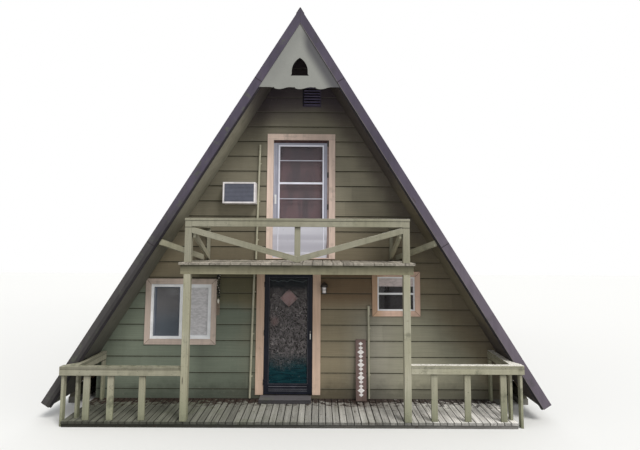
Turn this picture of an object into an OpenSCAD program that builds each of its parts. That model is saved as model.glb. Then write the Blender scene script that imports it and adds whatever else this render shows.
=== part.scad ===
// A small timber a-frame cabin: steep roof down to the ground, porch below and balcony above.
// Millimetres, +Z up, the front faces -Y. The origin is on the ground, under the middle of the whole cabin.

/* [Building] */
// Length between the outer faces of the front and back walls
cabin_len = 7300; // [5500:50:9000]
// Height of the soffits' peak above the ground floor
peak_h = 6120; // [5800:10:6600]
// Slope of the roof, in degrees
roof_pitch = 58.3; // [57:0.1:60]
// Height of the ground floor above the ground
floor_h = 150; // [120:5:300]
// Height of the wall between the entry's frame and the upper floor's top
head_h = 205; // [200:5:400]
// Thickness of the upper floor, joists and boards together
upper_floor_t = 160; // [120:5:200]
// Thickness of the floor boards on the slab
floor_board_t = 25; // [18:1:40]
// Thickness of the framed walls
wall_t = 114; // [90:1:160]
// Distance from the middle to the outer face of each knee wall
knee_x = 3400; // [3200:10:3450]
// Room in front of the gable walls for their lap siding
siding_t = 18; // [10:1:25]

/* [Roof] */
// Reach of the roof past the front and back walls
overhang = 810; // [600:10:900]
// Depth of the rafters, square to the slope
rafter_d = 96; // [89:1:140]
// Thickness of the rafters and of other 2-inch lumber
lumber_t = 38; // [32:1:45]
// Number of rafters on each side, the two above the walls counted
rafter_n = 13; // [7:1:20]
// Thickness of the roof boards and their felt
deck_t = 22; // [15:1:30]
// Room above the roof boards for the shingles
shingle_t = 14; // [6:1:20]
// Thickness of the cap along the ridge
ridge_cap_t = 8; // [4:1:15]
// Reach of the ridge cap down each slope
ridge_cap_w = 140; // [90:5:200]
// Width of the barge boards
barge_w = 140; // [120:1:180]
// Thickness of the barge boards
barge_t = 25; // [18:1:38]
// How far the fly rafters show below the barge boards
fly_show = 22; // [10:1:40]
// Thickness of the soffit boards
soffit_t = 12; // [9:1:20]
// Height of the roof's square-cut foot above the ground, at its outer edge
roof_foot_z = 260; // [255:5:300]
// Height of the concrete strips under the roof's sills
strip_h = 100; // [60:5:130]
// Width of the concrete strips under the roof's sills
strip_w = 150; // [120:5:180]
// Top of the timber sills that the rafters stand on
sill_top = 240; // [220:5:250]

/* [Gable ends] */
// Distance from the soffits' peak down to the gable panel's lower edge
panel_drop = 1132; // [1000:1:1160]
// Thickness of the gable panel
panel_t = 12; // [9:1:20]
// Depth of the waves along the panel's lower edge
wave_h = 30; // [10:1:60]
// Length of one wave
wave_len = 335; // [200:5:500]
// Width of the pointed hole in the panel
hole_w = 260; // [150:5:320]
// Height of the straight sides of the pointed hole
hole_side_h = 75; // [40:5:140]
// Height of the pointed hole's base above the panel's lower edge
hole_up = 240; // [180:5:300]
// Width of the louvred vent in each gable
vent_w = 330; // [200:5:400]
// Height of the louvred vent
vent_h = 400; // [250:5:450]
// Distance from the soffits' peak down to the vent's top
vent_drop = 785; // [765:5:900]
// Distance from the middle to the vent's centre
vent_x = 190; // [0:5:250]
// Number of the vent's slats
vent_slats = 8; // [5:1:12]
// Width of the rim around the vent's slats
vent_rim = 20; // [12:1:30]
// How far the vent stands out of the wall
vent_out = 20; // [19:1:40]
// Depth of the vent
vent_deep = 70; // [60:1:100]
// Width of a slat
slat_w = 50; // [30:1:52]
// Thickness of a slat
slat_t = 4; // [2:0.5:8]
// Slope of the slats, in degrees
slat_lean = 35; // [20:1:45]

/* [Doors] */
// Width of both leaves of the entry
door_w = 813; // [700:1:950]
// Height of both leaves of the entry
door_h = 2018; // [1900:1:2030]
// Centre of the entry, from the middle of the cabin
door_x = -185; // [-400:5:200]
// Gap around a leaf
door_gap = 5; // [3:0.5:8]
// Thickness of the entry's jambs and head
jamb_t = 22; // [18:1:30]
// Gap under the leaves of the entry
door_under = 10; // [6:1:20]
// Thickness of the storm door
storm_t = 30; // [25:1:30]
// How far the storm door stands out of the trim beside it
storm_proud = 3; // [2:0.5:10]
// Width of the storm door's stiles and top rail
storm_stile = 76; // [50:1:110]
// Height of the storm door's bottom rail
storm_kick = 170; // [120:5:300]
// Thickness of the entry door
entry_t = 44; // [35:1:50]
// Radius of the entry door's knobs
knob_r = 26; // [18:1:32]
// Reach of the outer knob
knob_out = 30; // [20:1:34]
// Reach of the inner knob
knob_in_reach = 55; // [30:1:70]
// Distance of the knobs from the door's free edge
knob_in = 62; // [50:1:80]
// Height of the knobs above the door's foot
knob_z = 860; // [800:5:960]
// Height of the storm door's handle above the floor
handle_z = 985; // [900:5:1100]
// Height of the handle's plate
handle_h = 160; // [130:5:200]
// Width of the handle's plate
handle_w = 28; // [22:1:36]
// Thickness of the handle's plate
handle_t = 6; // [4:1:10]
// Distance from the storm door to the middle of the grip
grip_out = 40; // [30:1:60]
// Radius of the grip
grip_r = 9; // [7:0.5:12]
// Radius of the two studs that carry the grip
stud_r = 6; // [4:0.5:8]
// Half diagonal of the diamond light in the entry door
diamond_r = 155; // [80:5:200]
// Distance from the leaf's top down to the diamond's centre
diamond_drop = 443; // [380:1:600]
// Radius of a hinge barrel
barrel_r = 6; // [5:0.5:9]
// Length of a hinge
hinge_h = 90; // [60:5:120]
// Distance from a leaf's ends to the middle of its end hinges
hinge_end = 200; // [120:5:300]
// Width of the hinges' plates
plate_w = 30; // [20:1:40]
// Thickness of the hinges' plates
plate_t = 3; // [2:0.5:5]
// Width of the trim boards beside the entry
entry_trim_w = 135; // [90:1:160]
// Thickness of every trim board
trim_t = 28; // [20:1:40]
// Depth of the doorstep in front of the entry
step_deep = 285; // [200:5:350]
// Length of the doorstep
step_w = 850; // [700:10:1000]
// Distance of the doorstep's middle from the door's middle, to the left
step_left = 30; // [0:5:60]
// Width of the upper door's leaf
upper_door_w = 950; // [800:5:1000]
// Height of the upper door's leaf
upper_door_h = 2040; // [1900:5:2080]
// Centre of the upper door, from the middle of the cabin
upper_door_x = 10; // [-100:5:100]
// Height of the upper door's foot above the upper floor
upper_sill = 25; // [10:1:60]
// Width of the trim boards around the upper door
upper_trim_w = 110; // [80:1:130]
// Width of the upper door's stiles and top rail
upper_stile = 100; // [60:1:130]
// Height of the upper door's kick panel
upper_kick = 610; // [400:5:700]
// Thickness of the upper door
upper_t = 40; // [30:1:50]
// How far the upper door stands out of the wall
upper_out = 12; // [5:1:25]
// Distance from the upper door's face to its glass
upper_glass_in = 17; // [8:1:22]
// Gap between the balcony's boards and the trim above them
trim_foot_gap = 20; // [5:1:25]

/* [Windows] */
// Width of the left window's opening
left_win_w = 1030; // [800:5:1200]
// Height of the left window's opening
left_win_h = 920; // [700:5:1000]
// How far the soffit cuts into the upper corner of the left window's trim
left_win_cut = 26; // [0:1:60]
// Height of the left window's sill above the ground floor
left_win_z = 905; // [850:5:1000]
// Width of the right window's opening
right_win_w = 640; // [500:5:700]
// Height of the right window's opening
right_win_h = 575; // [450:5:600]
// Centre of the right window, from the middle of the cabin
right_win_x = 1651; // [1500:1:1700]
// Gap between the right window's trim and the balcony's beam
right_win_gap = 10; // [4:1:200]
// Width of the trim boards around the windows
win_trim_w = 90; // [60:1:110]
// Width of a window frame's members
win_frame_w = 48; // [35:1:60]
// Width of the right window's slimmer frame members
right_frame_w = 20; // [15:1:60]
// Depth of a window frame
win_frame_d = 70; // [50:1:90]
// Thickness of a pane
pane_t = 6; // [4:1:10]
// How far the window frames stand out of the wall
win_out = 8; // [2:1:20]
// Distance from a frame's outer face to its panes
pane_in = 30; // [20:1:36]
// Drop of the blind in the right window
right_blind_h = 205; // [100:1:280]
// Drop of the blinds in the back windows
back_blind_h = 460; // [200:5:800]
// Thickness of a blind
blind_t = 6; // [3:1:12]
// Width of the loft window in the back wall
loft_win_w = 900; // [600:5:1000]
// Height of the loft window in the back wall
loft_win_h = 900; // [600:5:1000]
// Height of the loft window's sill above the upper floor
loft_win_z = 850; // [700:5:1000]

/* [Porch] */
// Depth of the porch and of the balcony above it, from the wall to the front of the posts
porch_deep = 1080; // [1000:10:1300]
// Height of the porch deck below the ground floor
deck_drop = 60; // [40:1:80]
// Thickness of the deck boards, of the porch and the balcony
board_t = 38; // [25:1:45]
// Distance of the outer sleepers from the front and back of the porch deck
sleeper_in = 20; // [10:1:60]
// Gap between the porch deck and the left corner post
deck_left_gap = 2; // [1:1:60]
// Gap between the porch deck and the right corner post
deck_right_gap = 52; // [1:1:60]
// Reach of the left porch rail's corner past the roof's edge beside it
left_corner_out = 172; // [120:1:220]
// Reach of the right porch rail's corner past the roof's edge beside it
right_corner_out = 82; // [60:1:120]
// Height of the porch rails' top above the ground floor
porch_rail_z = 750; // [700:5:900]
// How far the left porch rail lies lower than the right one
left_rail_drop = 40; // [0:5:80]
// Width of the cap on the front of a porch rail
front_cap_w = 100; // [80:5:184]
// Width of the cap on the left side of the porch
left_cap_w = 235; // [200:5:260]
// Width of the cap on the right side of the porch
right_cap_w = 180; // [160:5:200]
// Depth of the rail board under a cap
rail_d = 89; // [70:1:140]
// Width of the rails' posts
rail_post_w = 92; // [80:1:100]
// Distance of the corner posts from the caps' outer ends
corner_in = 20; // [10:1:40]
// Distance from the barge boards to the middle of the post in front of them
side_post_gap = 110; // [60:5:150]
// Distance from the siding to the middle of the post beside it
wall_post_gap = 60; // [55:5:120]
// Distances of the left rail's three middle posts from its outer corner
left_post_in = [392, 744, 1208];
// Distances of the right rail's three middle posts from its outer corner
right_post_in = [300, 830, 1321];

/* [Balcony] */
// Half of the balcony deck's width
balcony_x = 1775; // [1750:5:1800]
// How far the balcony's boards reach past the front beam
nose = 30; // [10:1:60]
// How far the balcony's boards reach past the ends of the beam
end_nose = 27; // [10:1:60]
// How far the balcony's boards lie below the upper floor
balcony_drop = 19; // [10:1:40]
// Depth of the balcony's joists and beam
joist_d = 138; // [130:1:160]
// Distance between the balcony's joists
joist_pitch = 430; // [300:10:600]
// Width of the square posts
post_w = 102; // [80:1:110]
// Distance from the middle to the centre of each square post
post_x = 1645; // [1600:5:1660]
// Height of the balcony rail's top above its boards
balcony_rail_h = 664; // [600:1:900]
// Width of the cap on the balcony's rail
cap_w = 100; // [89:1:140]
// How far the balcony's front cap reaches past the square posts
cap_over = 6; // [2:1:20]
// Width of the half posts at the wall
half_post_w = 58; // [45:1:90]
// Height of the outer struts' upper ends above the balcony's boards
strut_h = 299; // [250:1:360]
// Distance from the middle to the outer struts' lower ends
strut_foot_x = 1672; // [1650:1:1700]
// Turn of the outer struts away from the side rails, in degrees
strut_turn = 32; // [20:1:40]
// Distance from the middle to the inner face of each side rail
side_rail_x = 1540; // [1450:5:1560]
// Drop from the rail's underside to the top of the V's outer ends
v_drop = 6; // [2:1:60]
// Drop from the rail's underside to the top of the side boards' front ends
side_drop = 70; // [20:5:120]

/* [Fittings] */
// Width of the air conditioner
ac_w = 555; // [450:5:600]
// Height of the air conditioner
ac_h = 362; // [300:1:400]
// Centre of the air conditioner, from the middle of the cabin
ac_x = -1032; // [-1100:1:-900]
// Height of the air conditioner's base above the upper floor
ac_up = 937; // [800:1:1000]
// How far the air conditioner stands out of the wall
ac_out = 250; // [150:5:300]
// How far the air conditioner reaches into the room
ac_in = 200; // [150:5:300]
// Width of the rim around the air conditioner's grille
ac_rim = 28; // [15:1:50]
// Depth of the grille behind the rim
ac_recess = 12; // [5:1:30]
// Centre of the porch light, from the middle of the cabin
light_x = 419; // [400:1:500]
// Height of the porch light's centre above the ground floor
light_z = 1777; // [1600:1:1850]
// Height of the porch light
light_h = 205; // [180:5:300]
// Width of the porch light's hood
light_w = 130; // [110:5:160]
// Distance from the wall to the middle of the porch light
light_out = 100; // [90:1:140]
// Height of the porch light's hood
hood_h = 75; // [60:1:100]
// Radius of the porch light's jar
jar_r = 47; // [35:1:54]
// Radius of the porch light's wall plate
light_plate_r = 48; // [40:1:60]
// Radius of the wall conduits
conduit_r = 18; // [12:1:25]
// Top of the upper conduit above the upper floor
conduit_up = 1985; // [1700:5:2100]
// Lean of the conduits, in degrees
conduit_lean = 1.2; // [0:0.1:1.3]
// Distance from the air conditioner to the middle of the conduit's top
conduit_side = 44; // [43:1:60]
// Step to the left from the upper conduit to the lower one
conduit_step = 18; // [10:1:30]
// Gap between a conduit's end and the deck or beam there
conduit_gap = 12; // [5:1:40]
// Height of a conduit's clips
clip_h = 22; // [15:1:30]
// Reach of a clip to the right of the conduit
clip_w = 14; // [8:1:20]
// Largest distance between the clips
clip_pitch = 900; // [600:50:1200]
// Distance of the right conduit from the middle of the cabin
right_conduit_x = 1175; // [1150:5:1185]
// Top of the right conduit above the ground floor
right_conduit_top = 1480; // [1000:5:1700]
// Width of the leaning board
sign_w = 175; // [120:5:200]
// Length of the leaning board
sign_len = 980; // [700:10:1100]
// Thickness of the leaning board
sign_t = 20; // [15:1:30]
// Distance of the leaning board's centre from the middle of the cabin
sign_x = 1040; // [1000:5:1060]
// Lean of the board against the wall, in degrees
sign_lean = 6; // [3:1:12]
// Largest radius of the chime that hangs beside the left window
chime_r = 30; // [20:1:32]
// Gap between the chime and the window's trim or the siding
chime_gap = 8; // [4:1:12]
// Distance from the balcony's beam down to the chime's body
chime_drop = 25; // [10:1:60]
// Height of the chime's knotted body
chime_body_h = 440; // [300:5:500]
// Length of the chime's rods
chime_rod_len = 300; // [200:5:350]
// Radius of the chime's rods
chime_rod_r = 5; // [3:0.5:7]

/* [Hidden] */
// Gap between wooden pieces that meet
fit = 0.3;
// Slack of a piece that slides in along its neighbours
slip = 3;
// Reach of a cutter past a face
eps = 1;

front_y = (porch_deep + nose - cabin_len - overhang) / 2;
back_y = front_y + cabin_len;
soffit_peak = floor_h + peak_h;
barge_top = rafter_d + deck_t + shingle_t;
barge_low = barge_top - barge_w;
fly_low = barge_low - fly_show;
front_barge_y = front_y - overhang;
back_barge_y = back_y + overhang;
deck_top = floor_h - deck_drop;

door_l = door_x - door_w / 2;
door_r = door_x + door_w / 2;
opening_l = door_l - door_gap - jamb_t;
opening_r = door_r + door_gap + jamb_t;
door_foot = floor_h + door_under;
door_top = door_foot + door_h;
opening_top = door_top + door_gap + jamb_t;
upper_z = opening_top + head_h;
storm_y = front_y - trim_t - storm_proud;
entry_y = front_y + wall_t - entry_t;
barrel_out = barrel_r + 0.5;
storm_hinge = [door_l - door_gap / 2, storm_y - barrel_out];
entry_hinge = [door_l - door_gap / 2, entry_y + entry_t + barrel_out];
hinge_zs = [door_foot + hinge_end, door_foot + door_h / 2, door_foot + door_h - hinge_end];

upper_foot = upper_z + upper_sill;
upper_half = upper_door_w / 2 + door_gap * 2;
upper_opening = [upper_door_x - upper_half, upper_door_x + upper_half];
upper_opening_top = upper_foot + upper_door_h + door_gap * 2;

balcony_top = upper_z - balcony_drop;
beam_top = balcony_top - board_t - fit;
beam_low = beam_top - joist_d;
front_post_y = front_y - porch_deep;
balcony_cap_z = balcony_top + balcony_rail_h - lumber_t;
porch_cap_z = floor_h + porch_rail_z - lumber_t;
rail_left = rail_inside(left_rail_drop) + left_corner_out;
rail_right = rail_inside(0) + right_corner_out;
deck_left = rail_left - corner_in - lumber_t - deck_left_gap;
deck_right = rail_right - corner_in - lumber_t - deck_right_gap;

left_win_base = floor_h + left_win_z;
left_win_top = left_win_base + left_win_h + win_trim_w;
left_win_x = win_trim_w + left_win_w / 2 - left_win_cut - line_x(left_win_top, 0);
right_win_base = beam_low - right_win_gap - win_trim_w - right_win_h;
ac_z = upper_z + ac_up;
vent_z = soffit_peak - vent_drop - vent_h;
panel_z = soffit_peak - panel_drop;

// Range of a width about its middle, and the same range with both ends moved in
function about(mid, w) = [mid - w / 2, mid + w / 2];
function inside(range, gap) = [range[0] + gap, range[1] - gap];

// Height and half-width of the line that lies d outside the soffit, square to the slope
function line_z(x, d) = soffit_peak + d / cos(roof_pitch) - x * tan(roof_pitch);
function line_x(z, d) = (soffit_peak + d / cos(roof_pitch) - z) / tan(roof_pitch);

// Side of a porch rail that the roof leaves free behind the barge boards, for a rail that much lower
function rail_inside(drop) = line_x(porch_cap_z - drop + lumber_t, fly_low) - slip;

// Point of the roof's square-cut foot that lies d outside the soffit
function foot_pt(d) = [
  line_x(roof_foot_z, barge_top) - (barge_top - d) * sin(roof_pitch),
  roof_foot_z - (barge_top - d) * cos(roof_pitch)
];

// Outline of a sloping board from d0 to d1 outside the soffit, cut plumb at x_top and square at the foot
function slope_outline(d0, d1, x_top) = [
  [x_top, line_z(x_top, d0)], [x_top, line_z(x_top, d1)], foot_pt(d1), foot_pt(d0)
];

// Box between two corners
module block(x, y, z) {
  translate([x[0], y[0], z[0]]) cube([x[1] - x[0], y[1] - y[0], z[1] - z[0]]);
}

// Upright prism: an outline in x and z, carried from y0 to y1
module prism(outline, y0, y1) {
  translate([0, y1, 0]) rotate([90, 0, 0]) linear_extrude(y1 - y0) polygon(outline);
}

// The same outline on the right and on the left
module both_slopes(outline, y0, y1) {
  for (side = [-1, 1]) prism([for (p = outline) [side * p[0], p[1]]], y0, y1);
}

// Four mitred boards around an opening, w wide
module picture_frame(x, z, w, y0, y1) {
  low = z[0] - w;
  high = z[1] + w;
  prism([[x[0] - w, low], [x[1] + w, low], [x[1], z[0]], [x[0], z[0]]], y0, y1);
  prism([[x[0] - w, high], [x[0], z[1]], [x[1], z[1]], [x[1] + w, high]], y0, y1);
  for (side = [0, 1]) {
    dir = side * 2 - 1;
    near = x[side] + dir * fit;
    far = x[side] + dir * w;
    prism([[far, low + fit * 2], [near, z[0] + fit], [near, z[1] - fit], [far, high - fit * 2]], y0, y1);
  }
}

// Ground and floors

module foundations() {
  color("silver") {
    block([-knee_x, knee_x], [front_y, back_y], [0, floor_h - floor_board_t - fit]);
    for (side = [-1, 1]) {
      block(about(side * line_x(sill_top, rafter_d / 2), strip_w), [front_y, back_y], [0, strip_h]);
    }
  }
}

module roof_sills() {
  near = line_x(sill_top, 0);
  far = line_x(sill_top, rafter_d);
  color("saddlebrown")
  both_slopes([[near, strip_h], [far, strip_h], [far, sill_top], [near, sill_top]], front_y, back_y);
}

module ground_floor() {
  color("peru")
  block([-knee_x, knee_x], [front_y, back_y], [floor_h - floor_board_t, floor_h]);
}

module upper_floor() {
  low = upper_z - upper_floor_t;
  color("burlywood")
  prism([
    [-line_x(low, -fit), low], [line_x(low, -fit), low],
    [line_x(upper_z, -fit), upper_z], [-line_x(upper_z, -fit), upper_z]
  ], front_y + wall_t + fit, back_y - wall_t - fit);
}

// Walls

module knee_walls() {
  inner = knee_x - wall_t;
  low = floor_h;
  color("olivedrab")
  both_slopes([[inner, low], [knee_x, low], [knee_x, line_z(knee_x, -fit)], [inner, line_z(inner, -fit)]],
    front_y + wall_t + fit, back_y - wall_t - fit);
}

// Lower gable wall, from the knee walls up to the upper floor's top
function lower_wall(x0, x1) = [
  [x0, floor_h], [x1, floor_h], [x1, min(upper_z, line_z(abs(x1), -fit))],
  if (x1 > line_x(upper_z, -fit)) [line_x(upper_z, -fit), upper_z],
  if (x0 < -line_x(upper_z, -fit)) [-line_x(upper_z, -fit), upper_z],
  [x0, min(upper_z, line_z(abs(x0), -fit))]
];

module window_hole(x, z, w, h, y0, y1) {
  block(about(x, w), [y0 - eps, y1 + eps], [z, z + h]);
}

module front_wall_left() {
  color("darkolivegreen")
  difference() {
    prism(lower_wall(-knee_x, opening_l - fit), front_y, front_y + wall_t);
    window_hole(left_win_x, left_win_base, left_win_w, left_win_h, front_y, front_y + wall_t);
  }
}

module front_wall_right() {
  color("darkolivegreen")
  difference() {
    prism(lower_wall(opening_r + fit, knee_x), front_y, front_y + wall_t);
    window_hole(right_win_x, right_win_base, right_win_w, right_win_h, front_y, front_y + wall_t);
  }
}

module front_wall_over_door() {
  color("darkolivegreen")
  block([opening_l, opening_r], [front_y, front_y + wall_t], [opening_top + fit, upper_z]);
}

// Upper gable wall, a triangle with its point just under the ridge board
function upper_wall() = [
  [-line_x(upper_z, -fit), upper_z + fit], [line_x(upper_z, -fit), upper_z + fit],
  [lumber_t / 2, line_z(lumber_t / 2, -fit)], [-lumber_t / 2, line_z(lumber_t / 2, -fit)]
];

module front_wall_upper() {
  color("darkolivegreen")
  difference() {
    prism(upper_wall(), front_y, front_y + wall_t);
    block(upper_opening, [front_y - eps, front_y + wall_t + eps], [upper_foot - door_gap, upper_opening_top]);
    window_hole(ac_x, ac_z - fit, ac_w + fit * 2, ac_h + fit * 2, front_y, front_y + wall_t);
    window_hole(vent_x, vent_z, vent_w, vent_h, front_y, front_y + wall_t);
  }
}

module back_wall_lower() {
  color("darkolivegreen")
  difference() {
    prism(lower_wall(-knee_x, knee_x), back_y - wall_t, back_y);
    for (side = [-1, 1])
      window_hole(side * left_win_x, left_win_base, left_win_w, left_win_h, back_y - wall_t, back_y);
  }
}

module back_wall_upper() {
  color("darkolivegreen")
  difference() {
    prism(upper_wall(), back_y - wall_t, back_y);
    window_hole(0, upper_z + loft_win_z, loft_win_w, loft_win_h, back_y - wall_t, back_y);
    window_hole(0, vent_z, vent_w, vent_h, back_y - wall_t, back_y);
  }
}

// Roof

module rafters() {
  pitch_y = (cabin_len - lumber_t) / (rafter_n - 1);
  x_top = lumber_t / 2 + fit;
  outline = [
    [x_top, line_z(x_top, 0)], [x_top, line_z(x_top, rafter_d)],
    [line_x(sill_top, rafter_d), sill_top + fit], [line_x(sill_top, 0), sill_top + fit]
  ];
  color("peru")
  for (i = [0:rafter_n - 1])
    both_slopes(outline, front_y + i * pitch_y, front_y + i * pitch_y + lumber_t);
}

module ridge_board() {
  x_top = lumber_t / 2;
  color("peru")
  block([-x_top, x_top], [front_barge_y + barge_t + fit, back_barge_y - barge_t - fit],
    [line_z(x_top, 0), line_z(x_top, rafter_d)]);
}

module roof_side(side) {
  outline = slope_outline(rafter_d + fit, rafter_d + deck_t, fit);
  prism([for (p = outline) [side * p[0], p[1]]], front_barge_y + barge_t + fit, back_barge_y - barge_t - fit);
}

module left_roof() { color("dimgray") roof_side(-1); }

module right_roof() { color("dimgray") roof_side(1); }

module ridge_cap() {
  low_d = barge_top;
  top_d = barge_top + ridge_cap_t;
  reach = ridge_cap_w * cos(roof_pitch);
  color("dimgray")
  prism([
    [0, line_z(0, low_d)], [reach, line_z(reach, low_d)], [reach, line_z(reach, top_d)],
    [0, line_z(0, top_d)], [-reach, line_z(reach, top_d)], [-reach, line_z(reach, low_d)]
  ], front_barge_y, back_barge_y);
}

module barge_pair(y0) {
  both_slopes(slope_outline(barge_low, barge_top - fit, fit), y0, y0 + barge_t);
}

module front_barge_boards() { color([0.32, 0.28, 0.32]) barge_pair(front_barge_y); }

module back_barge_boards() { color([0.32, 0.28, 0.32]) barge_pair(back_barge_y - barge_t); }

module fly_rafters() {
  x_top = lumber_t / 2 + fit;
  color("darkkhaki")
  for (y0 = [front_barge_y + barge_t, back_barge_y - barge_t - lumber_t])
    both_slopes(slope_outline(fly_low, rafter_d, x_top), y0, y0 + lumber_t);
}

module soffits() {
  depth = overhang - barge_t - lumber_t - fit * 2;
  color("darkkhaki")
  for (y0 = [front_y - fit - depth, back_y + fit])
    both_slopes(slope_outline(0, soffit_t, lumber_t / 2 + fit), y0, y0 + depth);
}

// Lower edge of the gable panel, a row of waves with a low point in the middle
function wave_z(x) = panel_z + wave_h * (1 - cos(360 * x / wave_len)) / 2;

// The pointed hole: straight sides, then two arcs that meet in a point
module pointed_hole() {
  base = panel_z + hole_up;
  arc_r = hole_w;
  translate([-hole_w / 2, base]) square([hole_w, hole_side_h]);
  intersection() {
    translate([hole_w / 2, base + hole_side_h]) circle(r = arc_r, $fn = 64);
    translate([-hole_w / 2, base + hole_side_h]) circle(r = arc_r, $fn = 64);
    translate([-hole_w / 2, base + hole_side_h]) square([hole_w, arc_r]);
  }
}

module gable_panel() {
  edge = line_x(panel_z + wave_h, barge_low - fit);
  steps = 60;
  wave = [for (i = [0:steps]) let (x = -edge + 2 * edge * i / steps) [x, wave_z(x)]];
  color([0.57, 0.58, 0.54])
  translate([0, front_barge_y + barge_t - fit, 0]) rotate([90, 0, 0]) linear_extrude(panel_t)
  difference() {
    polygon(concat(wave, [[0, line_z(0, barge_low - fit)]]));
    pointed_hole();
  }
}

// Louvred vent: a flat rim in the wall and slats that slope outwards
module vent(x, y, face) {
  cut = eps * 2;
  slat_pitch = (vent_h - vent_rim * 2) / vent_slats;
  translate([x, y, vent_z]) scale([1, face, 1]) {
    difference() {
      translate([-vent_w / 2 + fit, -vent_out, fit]) cube([vent_w - fit * 2, vent_deep, vent_h - fit * 2]);
      translate([-vent_w / 2 + vent_rim, -vent_out - eps, vent_rim])
        cube([vent_w - vent_rim * 2, vent_deep + cut, vent_h - vent_rim * 2]);
    }
    for (i = [0:vent_slats - 1])
      translate([-vent_w / 2 + vent_rim - eps, vent_deep / 2 - vent_out, vent_rim + slat_pitch * (i + 0.5)])
        rotate([slat_lean, 0, 0]) translate([0, -slat_w / 2, -slat_t / 2])
          cube([vent_w - vent_rim * 2 + cut, slat_w, slat_t]);
  }
}

module gable_vents() {
  color("gray") {
    vent(vent_x, front_y, 1);
    vent(0, back_y, -1);
  }
}

// Entry

module entry_trim() {
  y = [front_y - trim_t, front_y - fit];
  z = [floor_h, beam_low - fit];
  left = door_l - door_gap;
  right = door_r + door_gap;
  color("burlywood") {
    block([left - entry_trim_w, left], y, z);
    block([right, right + entry_trim_w], y, z);
  }
}

// Range between two values, the smaller one first
function span(a, b) = [min(a, b), max(a, b)];

// The middle barrel of a hinge, and its block that reaches back to the frame at seat, in plan
module frame_barrel(axis, z, seat) {
  third = about(z, hinge_h / 3);
  translate([axis[0], axis[1], third[0]]) cylinder(r = barrel_r, h = third[1] - third[0], $fn = 32);
  block(span(axis[0], seat[0]), span(axis[1], seat[1]), third);
}

// The two outer barrels of each hinge, which turn with the leaf, on a plate against the leaf's face
module leaf_barrels(axis, face_y) {
  side = sign(face_y - axis[1]);
  plate = span(face_y - side * plate_t, face_y + side * eps);
  for (z = hinge_zs) for (part = [-1, 1]) {
    third = inside(about(z + part * hinge_h / 3, hinge_h / 3), fit);
    translate([axis[0], axis[1], third[0]]) cylinder(r = barrel_r, h = third[1] - third[0], $fn = 32);
    block([axis[0], door_l + plate_w], plate, third);
  }
}

// The middle barrels, which stay on the frame
module hinge_plates() {
  seat_x = door_l - door_gap - plate_w;
  color("dimgray")
  for (z = hinge_zs) {
    frame_barrel(storm_hinge, z, [seat_x, front_y - trim_t - fit]);
    frame_barrel(entry_hinge, z, [seat_x, front_y + wall_t + fit]);
  }
}

module entry_frame() {
  in_y = front_y + wall_t;
  color("tan") {
    block([opening_l, door_l - door_gap], [front_y, in_y], [floor_h, opening_top - jamb_t]);
    block([door_r + door_gap, opening_r], [front_y, in_y], [floor_h, opening_top - jamb_t]);
    block([opening_l, opening_r], [front_y, in_y], [opening_top - jamb_t + fit, opening_top]);
  }
}

module storm_door() {
  x = [door_l, door_r];
  y = [storm_y, storm_y + storm_t];
  color([0.12, 0.12, 0.14])
  difference() {
    union() {
      block(x, y, [door_foot, door_top]);
      leaf_barrels(storm_hinge, storm_y);
    }
    block([x[0] + storm_stile, x[1] - storm_stile], [y[0] - eps, y[1] + eps],
      [door_foot + storm_kick, door_top - storm_stile]);
  }
}

module storm_door_glass() {
  mid = storm_y + storm_t / 2;
  color([0.1, 0.2, 0.22, 0.5])
  block([door_l + storm_stile + fit, door_r - storm_stile - fit], [mid - pane_t / 2, mid + pane_t / 2],
    [door_foot + storm_kick + fit, door_top - storm_stile - fit]);
}

module storm_door_handle() {
  x = door_r - storm_stile / 2;
  z = floor_h + handle_z;
  color("silver") {
    block(about(x, handle_w), [storm_y - handle_t, storm_y - fit], about(z, handle_h));
    for (s = [-1, 1])
      translate([x, storm_y - handle_t + eps, z + s * handle_h / 3]) rotate([90, 0, 0])
        cylinder(r = stud_r, h = grip_out - handle_t, $fn = 24);
    translate([x, storm_y - grip_out, z - handle_h / 2]) cylinder(r = grip_r, h = handle_h, $fn = 24);
  }
}

module entry_door() {
  edge = diamond_r * sqrt(2);
  knob_x = door_r - knob_in;
  color([0.2, 0.16, 0.15])
  difference() {
    union() {
      block([door_l, door_r], [entry_y, entry_y + entry_t], [door_foot, door_top]);
      leaf_barrels(entry_hinge, entry_y + entry_t);
      translate([knob_x, entry_y + entry_t + knob_in_reach, door_foot + knob_z]) rotate([90, 0, 0])
        cylinder(r = knob_r, h = knob_in_reach + eps, $fn = 32);
      translate([knob_x, entry_y + eps, door_foot + knob_z]) rotate([90, 0, 0])
        cylinder(r = knob_r, h = knob_out + eps, $fn = 32);
    }
    translate([door_x, entry_y - eps, door_top - diamond_drop]) rotate([-90, 45, 0])
      translate([-edge / 2, -edge / 2, 0]) cube([edge, edge, entry_t + eps * 2]);
  }
}

module entry_door_glass() {
  edge = diamond_r * sqrt(2) - fit * 2;
  color([0.7, 0.55, 0.55, 0.8])
  translate([door_x, entry_y + entry_t / 2 - pane_t / 2, door_top - diamond_drop]) rotate([-90, 45, 0])
    translate([-edge / 2, -edge / 2, 0]) cube([edge, edge, pane_t]);
}

module doorstep() {
  color("gray")
  block(about(door_x - step_left, step_w), [front_y - step_deep, front_y - trim_t - fit],
    [deck_top + fit, floor_h - fit]);
}

// Windows: every one has mitred trim outside, a pale frame in the wall, and panes in the frame

// Each window's middle, sill height, width, height and width of its frame's members
function front_windows() = [
  [left_win_x, left_win_base, left_win_w, left_win_h, win_frame_w],
  [right_win_x, right_win_base, right_win_w, right_win_h, right_frame_w]
];
function back_windows() = [
  [left_win_x, left_win_base, left_win_w, left_win_h, win_frame_w],
  [-left_win_x, left_win_base, left_win_w, left_win_h, win_frame_w],
  [0, upper_z + loft_win_z, loft_win_w, loft_win_h, win_frame_w]
];

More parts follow.
